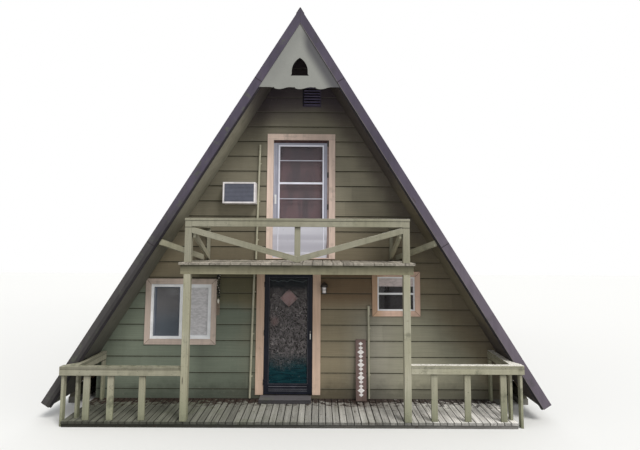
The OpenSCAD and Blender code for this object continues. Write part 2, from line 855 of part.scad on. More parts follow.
// A window's trim, cut along the soffit where its corner reaches it
module window_trim(w, y0, y1) {
  difference() {
    picture_frame(about(w[0], w[2]), [w[1], w[1] + w[3]], win_trim_w, y0, y1);
    both_slopes(slope_outline(-fit, rafter_d, lumber_t), y0 - eps, y1 + eps);
  }
}

module window_trims() {
  color("burlywood") {
    for (w = front_windows()) window_trim(w, front_y - trim_t, front_y - fit);
    for (w = back_windows()) window_trim(w, back_y + fit, back_y + trim_t);
  }
}

// Frame with one bar across the middle: upright in a sliding window, level in a sash window
module window_frame(w, y0, y1, upright) {
  x = inside(about(w[0], w[2]), fit);
  z = [w[1] + fit, w[1] + w[3] - fit];
  clear_x = inside(x, w[4]);
  clear_z = inside(z, w[4]);
  bar_x = about(w[0], w[4]);
  bar_z = about(w[1] + w[3] / 2, w[4]);
  cut = [y0 - eps, y1 + eps];
  difference() {
    block(x, [y0, y1], z);
    block([clear_x[0], upright ? bar_x[0] : clear_x[1]], cut, [clear_z[0], upright ? clear_z[1] : bar_z[0]]);
    block([upright ? bar_x[1] : clear_x[0], clear_x[1]], cut, [upright ? clear_z[0] : bar_z[1], clear_z[1]]);
  }
}

// The two panes of a window, a fit clear of the frame all round
module window_panes(w, y, upright) {
  member = w[4] + fit * 2;
  x = inside(about(w[0], w[2]), member);
  z = inside([w[1], w[1] + w[3]], member);
  bar_x = about(w[0], member);
  bar_z = about(w[1] + w[3] / 2, member);
  deep = [y, y + pane_t];
  block([x[0], upright ? bar_x[0] : x[1]], deep, [z[0], upright ? z[1] : bar_z[0]]);
  block([upright ? bar_x[1] : x[0], x[1]], deep, [upright ? z[0] : bar_z[1], z[1]]);
}

module window_frames() {
  front = front_y - win_out;
  back = back_y + win_out;
  color("white") {
    for (i = [0, 1]) window_frame(front_windows()[i], front, front + win_frame_d, i == 0);
    for (w = back_windows()) window_frame(w, back - win_frame_d, back, true);
  }
}

module window_glass() {
  color([0.2, 0.23, 0.25, 0.5]) {
    for (i = [0, 1]) window_panes(front_windows()[i], front_y - win_out + pane_in, i == 0);
    for (w = back_windows()) window_panes(w, back_y + win_out - pane_in - pane_t, true);
  }
}

// Pulled blinds: behind the right half of the left window, and behind the top of every other window
module window_blinds() {
  front = front_y - win_out + win_frame_d + fit;
  back = back_y + win_out - win_frame_d - fit;
  l = front_windows()[0];
  r = front_windows()[1];
  color("whitesmoke") {
    block([l[0], l[0] + l[2] / 2 - fit], [front, front + blind_t], [l[1] + fit, l[1] + l[3] - fit]);
    blind(r, right_blind_h, front);
    for (w = back_windows()) blind(w, back_blind_h, back - blind_t);
  }
}

module blind(w, drop, y) {
  top = w[1] + w[3] - fit;
  block(inside(about(w[0], w[2]), fit), [y, y + blind_t], [top - drop, top]);
}

// Upper door

module upper_door_trim() {
  x = [upper_opening[0] - fit, upper_opening[1] + fit];
  top = upper_opening_top + fit;
  low = balcony_top + trim_foot_gap;
  w = upper_trim_w;
  y = [front_y - trim_t, front_y - fit];
  color("burlywood") {
    block([x[0] - w, x[0]], y, [low, top - fit]);
    block([x[1], x[1] + w], y, [low, top - fit]);
    block([x[0] - w, x[1] + w], y, [top, top + w]);
    block([x[0] + fit, x[1] - fit], y, [low, upper_foot - door_gap]);
  }
}

module upper_door() {
  x = inside(upper_opening, fit);
  y = [front_y - upper_out, front_y - upper_out + upper_t];
  z = [upper_foot - door_gap + fit, upper_opening_top - fit];
  color("whitesmoke")
  difference() {
    block(x, y, z);
    block(inside(x, upper_stile), [y[0] - eps, y[1] + eps], [z[0] + upper_kick, z[1] - upper_stile]);
  }
}

module upper_door_glass() {
  inset = upper_stile + fit * 2;
  y = front_y - upper_out + upper_glass_in;
  color([0.4, 0.35, 0.38, 0.5])
  block(inside(upper_opening, inset), [y, y + pane_t],
    [upper_foot - door_gap + upper_kick + fit * 2, upper_opening_top - inset]);
}

// A plain leaf behind the glazed one, a few millimetres inside the wall's inner face
module inner_upper_door() {
  y = front_y + wall_t - slip;
  z = [upper_foot - door_gap, upper_opening_top];
  color([0.4, 0.33, 0.35])
  block(inside(upper_opening, fit), [y - entry_t, y], inside(z, fit));
}

// Fittings

module air_conditioner() {
  x = about(ac_x, ac_w);
  z = [ac_z, ac_z + ac_h];
  face = front_y - ac_out;
  color("whitesmoke")
  difference() {
    block(x, [face, front_y + wall_t + ac_in], z);
    block(inside(x, ac_rim), [face - eps, face + ac_recess], inside(z, ac_rim));
  }
}

// A jar light under a round hood, on a wall plate
module porch_light() {
  y = front_y - light_out;
  top = floor_h + light_z + light_h / 2;
  brim = 12;
  plate_deep = trim_t + 8;
  arm = 18;
  cup_h = 22;
  color([0.15, 0.13, 0.12]) {
    translate([light_x, front_y - fit, top - hood_h + arm / 2]) rotate([90, 0, 0])
      cylinder(r = light_plate_r, h = plate_deep, $fn = 32);
    block(about(light_x, arm), [y, front_y - plate_deep + eps], [top - hood_h, top - hood_h + arm]);
    translate([light_x, y, top - hood_h - brim + eps]) cylinder(r = light_w / 2, h = brim, $fn = 40);
    translate([light_x, y, top - hood_h])
      cylinder(r1 = (light_w - brim) / 2, r2 = cup_h, h = hood_h, $fn = 40);
    translate([light_x, y, top - light_h + cup_h - eps])
      cylinder(r = jar_r, h = light_h - hood_h - brim - cup_h + eps * 3, $fn = 40);
    translate([light_x, y, top - light_h]) cylinder(r = jar_r - brim / 2, h = cup_h, $fn = 40);
  }
}

// One round conduit from its top down, with clips on its right that hold it off the wall
module conduit(x, z_top, run, lean) {
  y = front_y - conduit_r - siding_t;
  clips = max(2, ceil(run / clip_pitch));
  translate([x, y, z_top]) rotate([180, lean, 0]) cylinder(r = conduit_r, h = run, $fn = 24);
  for (i = [0:clips - 1]) {
    down = run * (i + 0.5) / clips;
    mid = x - tan(lean) * down;
    block([mid - conduit_r / 2, mid + conduit_r + clip_w], [y + conduit_r / 2, front_y - fit],
      about(z_top - down, clip_h));
  }
}

// Round conduits on the wall: one above the balcony, one below it, and a short one at the right
module conduits() {
  top_z = upper_z + conduit_up;
  low_z = beam_low - conduit_gap;
  foot_z = deck_top + conduit_gap;
  top_x = ac_x + ac_w / 2 + conduit_side;
  low_x = top_x - tan(conduit_lean) * (top_z - low_z) - conduit_step;
  right_z = floor_h + right_conduit_top;
  color("darkkhaki") {
    conduit(top_x, top_z, top_z - balcony_top - conduit_gap, conduit_lean);
    conduit(low_x, low_z, low_z - foot_z, conduit_lean);
    conduit(right_conduit_x, right_z, right_z - foot_z, 0);
  }
}

// A bare board that leans on the wall
module sign_board() {
  foot_y = front_y - sign_len * sin(sign_lean) - siding_t - sign_t;
  foot_z = deck_top + sign_t * sin(sign_lean) + fit;
  color([0.42, 0.34, 0.33])
  translate([sign_x - sign_w / 2, foot_y, foot_z]) rotate([-sign_lean, 0, 0])
    cube([sign_w, sign_t, sign_len]);
}

// A hanging chime: a hook under the balcony's boards, a knotted body and three rods
module chime() {
  x = left_win_x + left_win_w / 2 + win_trim_w + chime_gap + chime_r;
  y = front_y - lumber_t - chime_gap - chime_r / 2;
  top = beam_low - chime_drop;
  rod_top = top - chime_body_h + eps;
  color([0.22, 0.2, 0.19]) {
    translate([x, y, top - eps]) cylinder(r = chime_rod_r / 2, h = beam_top - top + eps, $fn = 16);
    translate([x, y, rod_top]) cylinder(r = chime_r - chime_rod_r, h = chime_body_h - eps, $fn = 24);
    for (turn = [30, 150, 270])
      translate([x, y, rod_top - chime_rod_len]) rotate([0, 0, turn]) translate([chime_r / 2, 0, 0])
        cylinder(r = chime_rod_r, h = chime_rod_len + eps, $fn = 16);
  }
}

// Porch

module porch_deck() {
  x = [-deck_left, deck_right];
  first = front_post_y + sleeper_in;
  last = front_y - lumber_t - sleeper_in;
  color("gray") {
    block(x, [front_post_y, front_y - fit], [deck_top - board_t, deck_top]);
    for (y = [first, (first + last) / 2, last]) block(x, [y, y + lumber_t], [0, deck_top - board_t - fit]);
  }
}

// One porch rail: the front cap and rail, the side cap and rail, and their posts
// side is -1 for the left one, corner is its outer corner, posts are its middle posts' distances from it,
// cap_w is the width of its side cap, and drop is how far it lies lower
module porch_rail(side, corner, posts, cap_w, drop) {
  inner_x = post_x + post_w / 2 + fit;
  y0 = front_post_y;
  cap = [porch_cap_z - drop, porch_cap_z - drop + lumber_t];
  rail = [cap[0] - rail_d, cap[0] - fit];
  barge_y = front_barge_y - slip;
  roof_x = rail_inside(drop);
  side_in = corner - cap_w;
  wall = front_y - siding_t;
  scale([side, 1, 1]) {
    block([inner_x, corner], [y0, y0 + front_cap_w], cap);
    translate([0, 0, cap[0]]) linear_extrude(lumber_t) polygon([
      [side_in, y0 + front_cap_w + fit], [corner, y0 + front_cap_w + fit],
      [roof_x, barge_y], [roof_x, wall], [side_in, wall]
    ]);
    block([inner_x, corner], [y0, y0 + lumber_t], rail);
    block([side_in, side_in + lumber_t], [y0 + lumber_t + fit, wall], rail);
    for (in = posts)
      block(about(corner - in, rail_post_w), [y0 + lumber_t + fit, y0 + lumber_t * 2],
        [deck_top + fit, rail[1]]);
    block([corner - corner_in - lumber_t, corner - corner_in],
      [y0 + lumber_t + fit, y0 + lumber_t + rail_d], [0, rail[1]]);
    for (y = [front_barge_y - side_post_gap, wall - wall_post_gap])
      block([side_in, side_in + lumber_t], about(y, rail_post_w), [deck_top + fit, rail[0] - fit]);
  }
}

module left_porch_rail() {
  color("darkkhaki")
  porch_rail(-1, rail_left, left_post_in, left_cap_w, left_rail_drop);
}

module right_porch_rail() {
  color("darkkhaki")
  porch_rail(1, rail_right, right_post_in, right_cap_w, 0);
}

// Balcony

module balcony_deck() {
  color("gray")
  block(about(0, balcony_x * 2), [front_post_y - nose, front_y - fit], [balcony_top - board_t, balcony_top]);
}

module balcony_frame() {
  half = balcony_x - end_nose;
  z = [beam_low, beam_top];
  beam = front_post_y + lumber_t * 2;
  ledger = front_y - lumber_t;
  count = floor(half * 2 / joist_pitch);
  color("darkkhaki") {
    block([-half, half], [front_post_y, beam], z);
    block([-half, half], [ledger, front_y - fit], z);
    for (i = [0:count])
      let (x = -half + (half * 2 - lumber_t) * i / count)
        block([x, x + lumber_t], [beam + fit, ledger - fit], z);
  }
}

module balcony_posts() {
  color("darkkhaki")
  for (side = [-1, 1])
    block(about(side * post_x, post_w), [front_post_y, front_post_y + post_w],
      [deck_top + fit, beam_low - fit]);
}

// Rail of the balcony: square posts at the corners, caps and rails, a V of slanted boards in front,
// and half posts at the wall
module balcony_rails() {
  y0 = front_post_y;
  cap_y = [y0 - cap_over, y0 - cap_over + cap_w];
  base = balcony_top + fit;
  cap = [balcony_cap_z, balcony_cap_z + lumber_t];
  rail = [balcony_cap_z - rail_d, balcony_cap_z - fit];
  inner = post_x - post_w / 2;
  outer = post_x + post_w / 2;
  wall = front_y - siding_t;
  high = rail[0] - v_drop;
  rise = rail_d / cos(atan((high - base - rail_d) / inner));
  color("darkkhaki") {
    block([-outer - cap_over, outer + cap_over], cap_y, cap);
    block([-inner + fit, inner - fit], [y0, y0 + lumber_t], rail);
    block(about(0, rail_d), [y0 + lumber_t + fit, y0 + lumber_t * 2], [base, rail[1]]);
    for (side = [-1, 1]) scale([side, 1, 1]) {
      block([inner, outer], [y0, y0 + post_w], [base, cap[0] - fit]);
      prism([[fit, base], [inner - fit, high - rise], [inner - fit, high], [fit, base + rise]],
        y0, y0 + lumber_t);
      block([side_rail_x, side_rail_x + cap_w], [cap_y[1] + fit, wall], cap);
      block([side_rail_x, side_rail_x + lumber_t], [y0 + lumber_t + fit, wall - lumber_t - fit], rail);
      block([side_rail_x, side_rail_x + half_post_w], [wall - lumber_t, wall], [base, cap[0] - fit]);
    }
  }
}

// Slanted boards beside the balcony: one in each side rail, one from the wall out to each fly rafter
module balcony_struts() {
  y = [front_post_y + lumber_t + fit, front_y - siding_t - lumber_t - fit];
  base = balcony_top + fit;
  high = balcony_cap_z - rail_d - side_drop;
  rise = rail_d / cos(atan((high - base - rail_d) / (y[1] - y[0])));
  section = [lumber_t / cos(strut_turn), eps, rail_d];
  depth = section[0] / 2 * sin(roof_pitch) + section[2] / 2 * cos(roof_pitch);
  tip_z = balcony_top + strut_h;
  tip = [line_x(tip_z, -depth - fit), front_barge_y + barge_t + lumber_t + fit + eps / 2, tip_z];
  foot = [strut_foot_x, front_y - siding_t - fit - eps / 2, base + section[2] / 2];
  color("darkkhaki")
  for (side = [-1, 1]) scale([side, 1, 1]) {
    translate([side_rail_x, 0, 0]) rotate([90, 0, 90]) linear_extrude(lumber_t)
      polygon([[y[1], base], [y[1], base + rise], [y[0], high], [y[0], high - rise]]);
    hull() {
      translate(foot) cube(section, center = true);
      translate(tip) cube(section, center = true);
    }
  }
}

foundations();
roof_sills();
ground_floor();
upper_floor();
knee_walls();
front_wall_left();
front_wall_right();
front_wall_over_door();
front_wall_upper();
back_wall_lower();
back_wall_upper();
rafters();
ridge_board();
left_roof();
right_roof();
ridge_cap();
front_barge_boards();
back_barge_boards();
fly_rafters();
soffits();
gable_panel();
gable_vents();
entry_trim();
entry_frame();
storm_door();
storm_door_glass();
storm_door_handle();
entry_door();
entry_door_glass();
hinge_plates();
doorstep();
window_trims();
window_frames();
window_glass();
window_blinds();
upper_door_trim();
upper_door();
upper_door_glass();
inner_upper_door();
air_conditioner();
porch_light();
conduits();
sign_board();
chime();
porch_deck();
left_porch_rail();
right_porch_rail();
balcony_deck();
balcony_frame();
balcony_posts();
balcony_rails();
balcony_struts();
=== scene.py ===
# %% [markdown]
# # Dressing a small a-frame cabin
#
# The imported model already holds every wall, rafter, rail and door at its real size. This lesson gives it its
# looks: lap siding, shingles, deck boards, paint that has faded and grown mildew, glass, and the small
# hardware. Every new piece is worked out with numpy as whole arrays of points and then put into a mesh.

# %% The frame
import math

import bmesh
import bpy
import numpy as np
from mathutils import Matrix, Vector


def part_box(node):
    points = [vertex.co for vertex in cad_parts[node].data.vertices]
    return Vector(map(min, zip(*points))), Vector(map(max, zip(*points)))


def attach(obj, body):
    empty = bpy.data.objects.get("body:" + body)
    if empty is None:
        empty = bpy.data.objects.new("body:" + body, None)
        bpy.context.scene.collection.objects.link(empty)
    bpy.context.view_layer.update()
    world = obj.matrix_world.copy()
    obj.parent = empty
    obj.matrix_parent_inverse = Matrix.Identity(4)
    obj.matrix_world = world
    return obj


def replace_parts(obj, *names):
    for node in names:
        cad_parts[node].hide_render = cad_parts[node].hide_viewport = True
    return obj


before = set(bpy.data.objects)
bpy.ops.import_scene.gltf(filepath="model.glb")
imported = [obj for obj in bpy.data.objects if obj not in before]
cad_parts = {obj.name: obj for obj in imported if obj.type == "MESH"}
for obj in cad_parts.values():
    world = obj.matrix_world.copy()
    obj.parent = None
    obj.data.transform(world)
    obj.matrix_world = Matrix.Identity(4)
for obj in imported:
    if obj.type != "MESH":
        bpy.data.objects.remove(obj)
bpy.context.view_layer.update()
rng = np.random.default_rng(7)

PITCH = math.radians(58.3)
SLOPE, COS, SIN = math.tan(PITCH), math.cos(PITCH), math.sin(PITCH)
wall_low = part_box("front_wall_left")[0]
knee_x = -wall_low.x
PEAK_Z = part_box("front_wall_upper")[1].z + 0.019 * SLOPE + 0.0003 / COS

# %% [markdown]
# ## The camera
#
# On the real photograph the camera stood a little right of the middle, at the height of the balcony's floor,
# and looked up by about five degrees. Its principal point lies above the middle of the picture, so the lens is
# shifted a little. The three directions are unit vectors, and the matrix is built from them.

# %% The camera
CAMERA_AT = (0.3214, -11.8511, 2.6926)
RIGHT = Vector((0.99998, -0.00285, 0.00533))
UP = Vector((-0.00557, -0.09446, 0.99551))
BACK = -Vector((0.00233, 0.99553, 0.09447))

camera_data = bpy.data.cameras.new("camera")
camera_data.sensor_width = 36.0
camera_data.lens = 27.05
camera_data.shift_y = -0.04375
camera = bpy.data.objects.new("camera", camera_data)
turn = Matrix((RIGHT, UP, BACK)).transposed().to_4x4()
camera.matrix_world = Matrix.Translation(CAMERA_AT) @ turn
bpy.context.scene.collection.objects.link(camera)
bpy.context.scene.camera = camera
print("camera at", CAMERA_AT)

# %% [markdown]
# ## The light
#
# The light is a white sky all round, one soft sun high in front, and a weak wide lamp low at the right, which
# reaches under the left eave. Rays that look straight at the sky, or see it in glass or metal, find plain
# white, whatever strength lights the wood.

# %% The light
scene = bpy.context.scene
scene.view_settings.view_transform = "Standard"
SKY_STRENGTH = 0.70
LAMPS = (("high_sun", 2.0, 22, (0.40, -0.62, 0.85)), ("low_lamp", 0.75, 45, (0.85, -0.50, 0.10)))


def white_when_seen(tree, lit, seen):
    """Mixes from the lit shader to the seen one on camera, glossy and transmission rays."""
    ray = tree.nodes.new("ShaderNodeLightPath")
    amount = ray.outputs["Is Camera Ray"]
    for kind in ("Is Glossy Ray", "Is Transmission Ray"):
        either = tree.nodes.new("ShaderNodeMath")
        either.operation = "MAXIMUM"
        tree.links.new(amount, either.inputs[0])
        tree.links.new(ray.outputs[kind], either.inputs[1])
        amount = either.outputs[0]
    mix = tree.nodes.new("ShaderNodeMixShader")
    tree.links.new(amount, mix.inputs["Fac"])
    tree.links.new(lit.outputs[0], mix.inputs[1])
    tree.links.new(seen.outputs[0], mix.inputs[2])
    return mix


world = bpy.data.worlds.new("sky")
scene.world = world
world.use_nodes = True
sky = world.node_tree
sky.nodes.clear()
sky_out = sky.nodes.new("ShaderNodeOutputWorld")
sky_light = sky.nodes.new("ShaderNodeBackground")
sky_seen = sky.nodes.new("ShaderNodeBackground")
sky_light.inputs["Color"].default_value = (0.97, 0.985, 1.0, 1)
sky_light.inputs["Strength"].default_value = SKY_STRENGTH
sky_seen.inputs["Color"].default_value = (1, 1, 1, 1)
sky.links.new(white_when_seen(sky, sky_light, sky_seen).outputs[0], sky_out.inputs["Surface"])

for name, strength, spread, from_here in LAMPS:
    lamp_data = bpy.data.lights.new(name, "SUN")
    lamp_data.energy = strength
    lamp_data.angle = math.radians(spread)
    lamp_data.color = (1.0, 0.98, 0.94)
    lamp = bpy.data.objects.new(name, lamp_data)
    lamp.rotation_euler = Vector(from_here).to_track_quat("Z", "Y").to_euler()
    scene.collection.objects.link(lamp)
print("sky", SKY_STRENGTH, "lamps", len(LAMPS))

# %% [markdown]
# ## A short way to write materials
#
# Paint, wood and grit are all mixes of a few noises. This small class keeps one material's nodes together, so
# that a finish reads as a list of its layers. Positions come from Object coordinates, which are metres here, or
# from attributes that our own boards carry: `grain` runs along each board, and `tint` differs from board to
# board.

# %% The finish helper
class Finish:
    """One material, built layer by layer. Each method returns a socket that the next one can use."""

    def __init__(self, name, specular=0.5, **fixed):
        self.material = bpy.data.materials.new(name)
        self.material.use_nodes = True
        self.tree = self.material.node_tree
        self.shader = self.tree.nodes["Principled BSDF"]
        self.shader.inputs["Specular IOR Level"].default_value = specular
        for socket, value in fixed.items():
            self.shader.inputs[socket].default_value = value
        self.place = self.node("ShaderNodeTexCoord").outputs["Object"]
        self.x, self.y, self.z = self.node("ShaderNodeSeparateXYZ", {"Vector": self.place}).outputs

    def node(self, kind, inputs=None, **settings):
        """Adds a node, sets its settings, and links or fills its inputs."""
        made = self.tree.nodes.new(kind)
        for key, value in settings.items():
            setattr(made, key, value)
        for key, value in (inputs or {}).items():
            if isinstance(value, bpy.types.NodeSocket):
                self.tree.links.new(value, made.inputs[key])
            else:
                made.inputs[key].default_value = value
        return made

    def attribute(self, name, output="Fac"):
        return self.node("ShaderNodeAttribute", attribute_name=name).outputs[output]

    def grain(self):
        """Coordinates along, across and through a board, in metres."""
        return self.attribute("grain", "Vector")

    def stretch(self, vector, scale, shift=(0, 0, 0)):
        return self.node("ShaderNodeMapping",
                         {"Vector": vector, "Scale": scale, "Location": shift}).outputs[0]

    def noise(self, scale, detail=3.0, roughness=0.55, on=None):
        """A cloudy value round 0.5, with about as many clouds in a metre as its scale."""
        inputs = {"Vector": self.place if on is None else on, "Scale": scale, "Detail": detail,
                  "Roughness": roughness}
        return self.node("ShaderNodeTexNoise", inputs).outputs["Fac"]

    def streaks(self, stretch, detail=3.0, roughness=0.55, on=None, shift=(0, 0, 0)):
        """Noise with its own scale on each axis, so that the clouds are drawn out into streaks."""
        return self.noise(1.0, detail, roughness,
                          self.stretch(self.place if on is None else on, stretch, shift))

    def cells(self, scale, output="Distance", randomness=1.0, on=None):
        inputs = {"Vector": self.place if on is None else on, "Scale": scale, "Randomness": randomness}
        return self.node("ShaderNodeTexVoronoi", inputs).outputs[output]

    def part(self, vector, axis):
        return self.node("ShaderNodeSeparateXYZ", {"Vector": vector}).outputs[axis]

    def normal(self, axis):
        return self.part(self.node("ShaderNodeNewGeometry").outputs["Normal"], axis)

    def between(self, value, low, high, to_low=0.0, to_high=1.0, smooth=True):
        """Carries low..high to to_low..to_high, and holds the ends."""
        made = self.node("ShaderNodeMapRange", {"Value": value, "From Min": low, "From Max": high,
                                                "To Min": to_low, "To Max": to_high},
                         interpolation_type="SMOOTHSTEP" if smooth else "LINEAR")
        return made.outputs["Result"]

    def inside(self, value, low, high, soft):
        """1 between low and high, 0 outside, with soft slopes of that width."""
        return self.times(self.between(value, low - soft, low + soft),
                          self.between(value, high + soft, high - soft))

    def math(self, operation, a, b=0.5):
        return self.node("ShaderNodeMath", {0: a, 1: b}, operation=operation).outputs[0]

    def plus(self, a, b):
        return self.math("ADD", a, b)

    def minus(self, a, b):
        return self.math("SUBTRACT", a, b)

    def times(self, a, b):
        return self.math("MULTIPLY", a, b)

    def larger(self, a, b):
        return self.math("MAXIMUM", a, b)

    def smaller(self, a, b):
        return self.math("MINIMUM", a, b)

    def absolute(self, a):
        return self.math("ABSOLUTE", a)

    def blend(self, amount, a, b, kind="MIX"):
        made = self.node("ShaderNodeMix", {0: amount}, data_type="RGBA", blend_type=kind)
        for key, value in ((6, a), (7, b)):
            if isinstance(value, bpy.types.NodeSocket):
                self.tree.links.new(value, made.inputs[key])
            else:
                made.inputs[key].default_value = (*value, 1)
        return made.outputs[2]

    def shade(self, colour, amount):
        """Multiplies a colour by a grey value that comes from a socket."""
        grey = self.node("ShaderNodeCombineXYZ", {"X": amount, "Y": amount, "Z": amount}).outputs[0]
        return self.blend(1.0, colour, grey, "MULTIPLY")

    def vary(self, colour, value, *ends, smooth=True):
        """Multiplies a colour by a grey. ends are two values and the grey at each of them."""
        return self.shade(colour, self.between(value, *ends, smooth=smooth))

    def bump(self, height, distance, strength):
        inputs = {"Height": height, "Distance": distance, "Strength": strength}
        return self.node("ShaderNodeBump", inputs).outputs[0]

    def clear(self, share):
        """Lets a socket say how much of the view the surface itself covers."""
        self.tree.links.new(share, self.shader.inputs["Alpha"])

    def done(self, colour=None, roughness=None, normal=None):
        for key, value in (("Base Color", colour), ("Roughness", roughness), ("Normal", normal)):
            if value is not None:
                self.tree.links.new(value, self.shader.inputs[key])
        return self.material


# %% [markdown]
# ## Points into meshes
#
# Nearly every new piece is a *loft*: the same ring of points, carried along a board, round a frame or up a
# lathe. The rings of many like pieces sit in one array of shape (pieces, rings, points, 3), so a whole deck is
# one sum.

# %% Lofts
MERGE = 1e-5


def loft(rings, closed=False):
    """Joins neighbouring rings with quads. Each end gets one face, unless the loft closes on itself.

    Point (i, j) of a piece meets (i, j+1), (i+1, j+1) and (i+1, j).
    """
    rings = np.asarray(rings, float)
    if rings.ndim == 3:
        rings = rings[None]
    pieces, steps, count, _ = rings.shape
    index = np.arange(pieces * steps * count).reshape(pieces, steps, count)
    ahead = np.roll(index, -1, axis=2)
    if closed:
        a, b, c, d = index, ahead, np.roll(ahead, -1, axis=1), np.roll(index, -1, axis=1)
    else:
        a, b, c, d = index[:, :-1], ahead[:, :-1], ahead[:, 1:], index[:, 1:]
    faces = np.stack([a, b, c, d], axis=-1).reshape(-1, 4).tolist()
    if not closed:
        faces += index[:, 0, ::-1].tolist() + index[:, -1].tolist()
    return rings.reshape(-1, 3), faces


def join(parts):
    """Puts several (points, faces) into one, with the face numbers moved on."""
    points, faces, start = [], [], 0
    for some_points, some_faces in parts:
        points.append(some_points)
        faces += [[start + i for i in face] for face in some_faces]
        start += len(some_points)
    return np.concatenate(points), faces


def xyz(x, y, z):
    """Points from three arrays, which are stretched to one shape first."""
    return np.stack(np.broadcast_arrays(x, y, z), axis=-1)


def angles(sides):
    """The angles of evenly spaced points on a circle."""
    return np.arange(sides) * 2 * math.pi / sides


def put(name, mesh, material, body="cabin", attributes=None):
    """Puts a mesh into the scene as a piece that rides on a body, with its attributes and its finish."""
    for key, values in (attributes or {}).items():
        values = np.asarray(values, np.float32)
        kind, field = ("FLOAT", "value") if values.ndim == 1 else ("FLOAT_VECTOR", "vector")
        mesh.attributes.new(key, kind, "POINT").data.foreach_set(field, values.ravel())
    mesh.materials.append(material)
    piece = bpy.data.objects.new(name, mesh)
    scene.collection.objects.link(piece)
    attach(piece, body)
    print(name, len(mesh.polygons), "faces")
    return piece


def add_piece(name, made, material, body="cabin", attributes=None, smooth=False):
    """Makes points and faces into a piece whose faces all point outwards."""
    points, faces = made
    mesh = bpy.data.meshes.new(name)
    mesh.from_pydata(points.tolist(), [], faces)
    shell = bmesh.new()
    shell.from_mesh(mesh)
    bmesh.ops.recalc_face_normals(shell, faces=shell.faces)
    shell.to_mesh(mesh)
    shell.free()
    mesh.polygons.foreach_set("use_smooth", np.full(len(mesh.polygons), smooth))
    return put(name, mesh, material, body, attributes)


def soften(piece, width, segments=2):
    """A narrow bevel along every sharp edge, as wear and paint leave it."""
    bevel = piece.modifiers.new("soft_edges", "BEVEL")
    bevel.width = width
    bevel.segments = segments
    bevel.limit_method = "ANGLE"
    bevel.angle_limit = math.radians(35)
    return piece


# %% [markdown]
# ## Boards that know their own grain
#
# A post's grain runs up and a rail's runs across, yet both are one CAD node. So each wooden node is copied, its
# loose triangles are merged, and its separate boards are found by spreading the lowest point number over every
# edge until nothing changes. A board's longest direction is the first axis of its points' spread. Measured
# along that axis, the points give the board its `grain`, and a random number gives it its `tint`.

# %% Dressed copies of the wooden nodes
def merged_copy(node):
    """A copy of a CAD node's mesh with shared points and flat faces."""
    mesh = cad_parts[node].data.copy()
    shell = bmesh.new()
    shell.from_mesh(mesh)
    bmesh.ops.remove_doubles(shell, verts=shell.verts, dist=MERGE)
    bmesh.ops.dissolve_limit(shell, angle_limit=math.radians(0.5), verts=shell.verts, edges=shell.edges)
    shell.to_mesh(mesh)
    shell.free()
    mesh.materials.clear()
    return mesh


def points_of(mesh):
    points = np.empty(len(mesh.vertices) * 3)
    mesh.vertices.foreach_get("co", points)
    return points.reshape(-1, 3)


def board_numbers(mesh):
    """The number of the board that each point belongs to."""
    edges = np.empty(len(mesh.edges) * 2, int)
    mesh.edges.foreach_get("vertices", edges)
    a, b = edges.reshape(-1, 2).T
    label = np.arange(len(mesh.vertices))
    while True:
        low = np.minimum(label[a], label[b])
        before = label.copy()
        np.minimum.at(label, a, low)
        np.minimum.at(label, b, low)
        if (label == before).all():
            return np.unique(label, return_inverse=True)[1]


def board_attributes(points, label):
    """Grain coordinates and tints: each point's place along its board's own three axes, longest first."""
    grain = np.empty_like(points)
    tint = np.empty(len(points))
    for number in range(label.max() + 1):
        mine = label == number
        centred = points[mine] - points[mine].mean(0)
        axes = np.linalg.svd(centred, full_matrices=False)[2]
        grain[mine] = centred @ axes.T + rng.uniform(-40, 40, 3)
        tint[mine] = rng.random()
    return {"grain": grain, "tint": tint}


def dress(node, material, edge):
    """Replaces a wooden node by a copy with soft edges whose boards each have their own grain and tint."""
    mesh = merged_copy(node)
    attributes = board_attributes(points_of(mesh), board_numbers(mesh))
    piece = put(node + "_wood", mesh, material, attributes=attributes)
    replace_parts(piece, node)
    return soften(piece, edge)


def solids(node):
    """Lowest and highest corner of each separate solid of a node, as two arrays."""
    mesh = merged_copy(node)
    points, label = points_of(mesh), board_numbers(mesh)
    low = np.array([points[label == n].min(0) for n in range(label.max() + 1)])
    high = np.array([points[label == n].max(0) for n in range(label.max() + 1)])
    bpy.data.meshes.remove(mesh)
    return low, high


# %% [markdown]
# ## Paint on wood
#
# House paint on softwood fades where the sky reaches it, keeps a faint raised grain, runs a little darker in
# vertical streaks, and grows green and grey where it stays damp. Each of these is one thin layer over the
# colour. Where the film has failed, small spots of bare grey wood show.

# %% Paint on boards
BARE_WOOD = (0.20, 0.175, 0.145)
LICHEN = (0.30, 0.30, 0.19)
MOSS = (0.115, 0.118, 0.075)
MOULD = (0.045, 0.05, 0.03)
BLEACHED_LIT_TOP = (0.93, 0.90, 0.84)


def lichen_on(f, paint, amount):
    """Upward faces: moss and lichen at the damp left; at the right, bleached paint with a painted highlight."""
    upward = f.between(f.normal("Z"), 0.4, 0.8)
    left = f.between(f.x, 1.6, -1.2)
    # Upward faces at the right are paled, partly bleached paint and partly a painted highlight.
    bleached_lit_top = f.times(upward, f.minus(1.0, left))
    paint = f.blend(f.times(bleached_lit_top, 0.92), paint, BLEACHED_LIT_TOP)
    patch = f.noise(13.0, 6.0, 0.72)
    damp = f.times(upward, f.between(left, 0, 1, 0.35, 1.0, smooth=False))
    moss = f.times(damp, f.between(patch, 0.46, 0.60, 0, 0.8))
    paint = f.blend(f.times(moss, amount), paint, MOSS)
    spots = f.times(upward, f.between(f.noise(34.0, 5.0, 0.7), 0.55, 0.60))
    paint = f.blend(f.times(spots, amount), paint, LICHEN)
    specks = f.between(f.noise(60.0, 3.0, 0.6), 0.66, 0.7)
    return f.blend(f.times(specks, amount), paint, MOULD)


def roof_distance(f):
    """How far a point lies outside the gable's roof line, in metres, at right angles to the roof."""
    reach = f.times(f.absolute(f.x), SLOPE)
    height = f.minus(f.plus(reach, f.z), PEAK_Z)
    return f.times(height, COS)


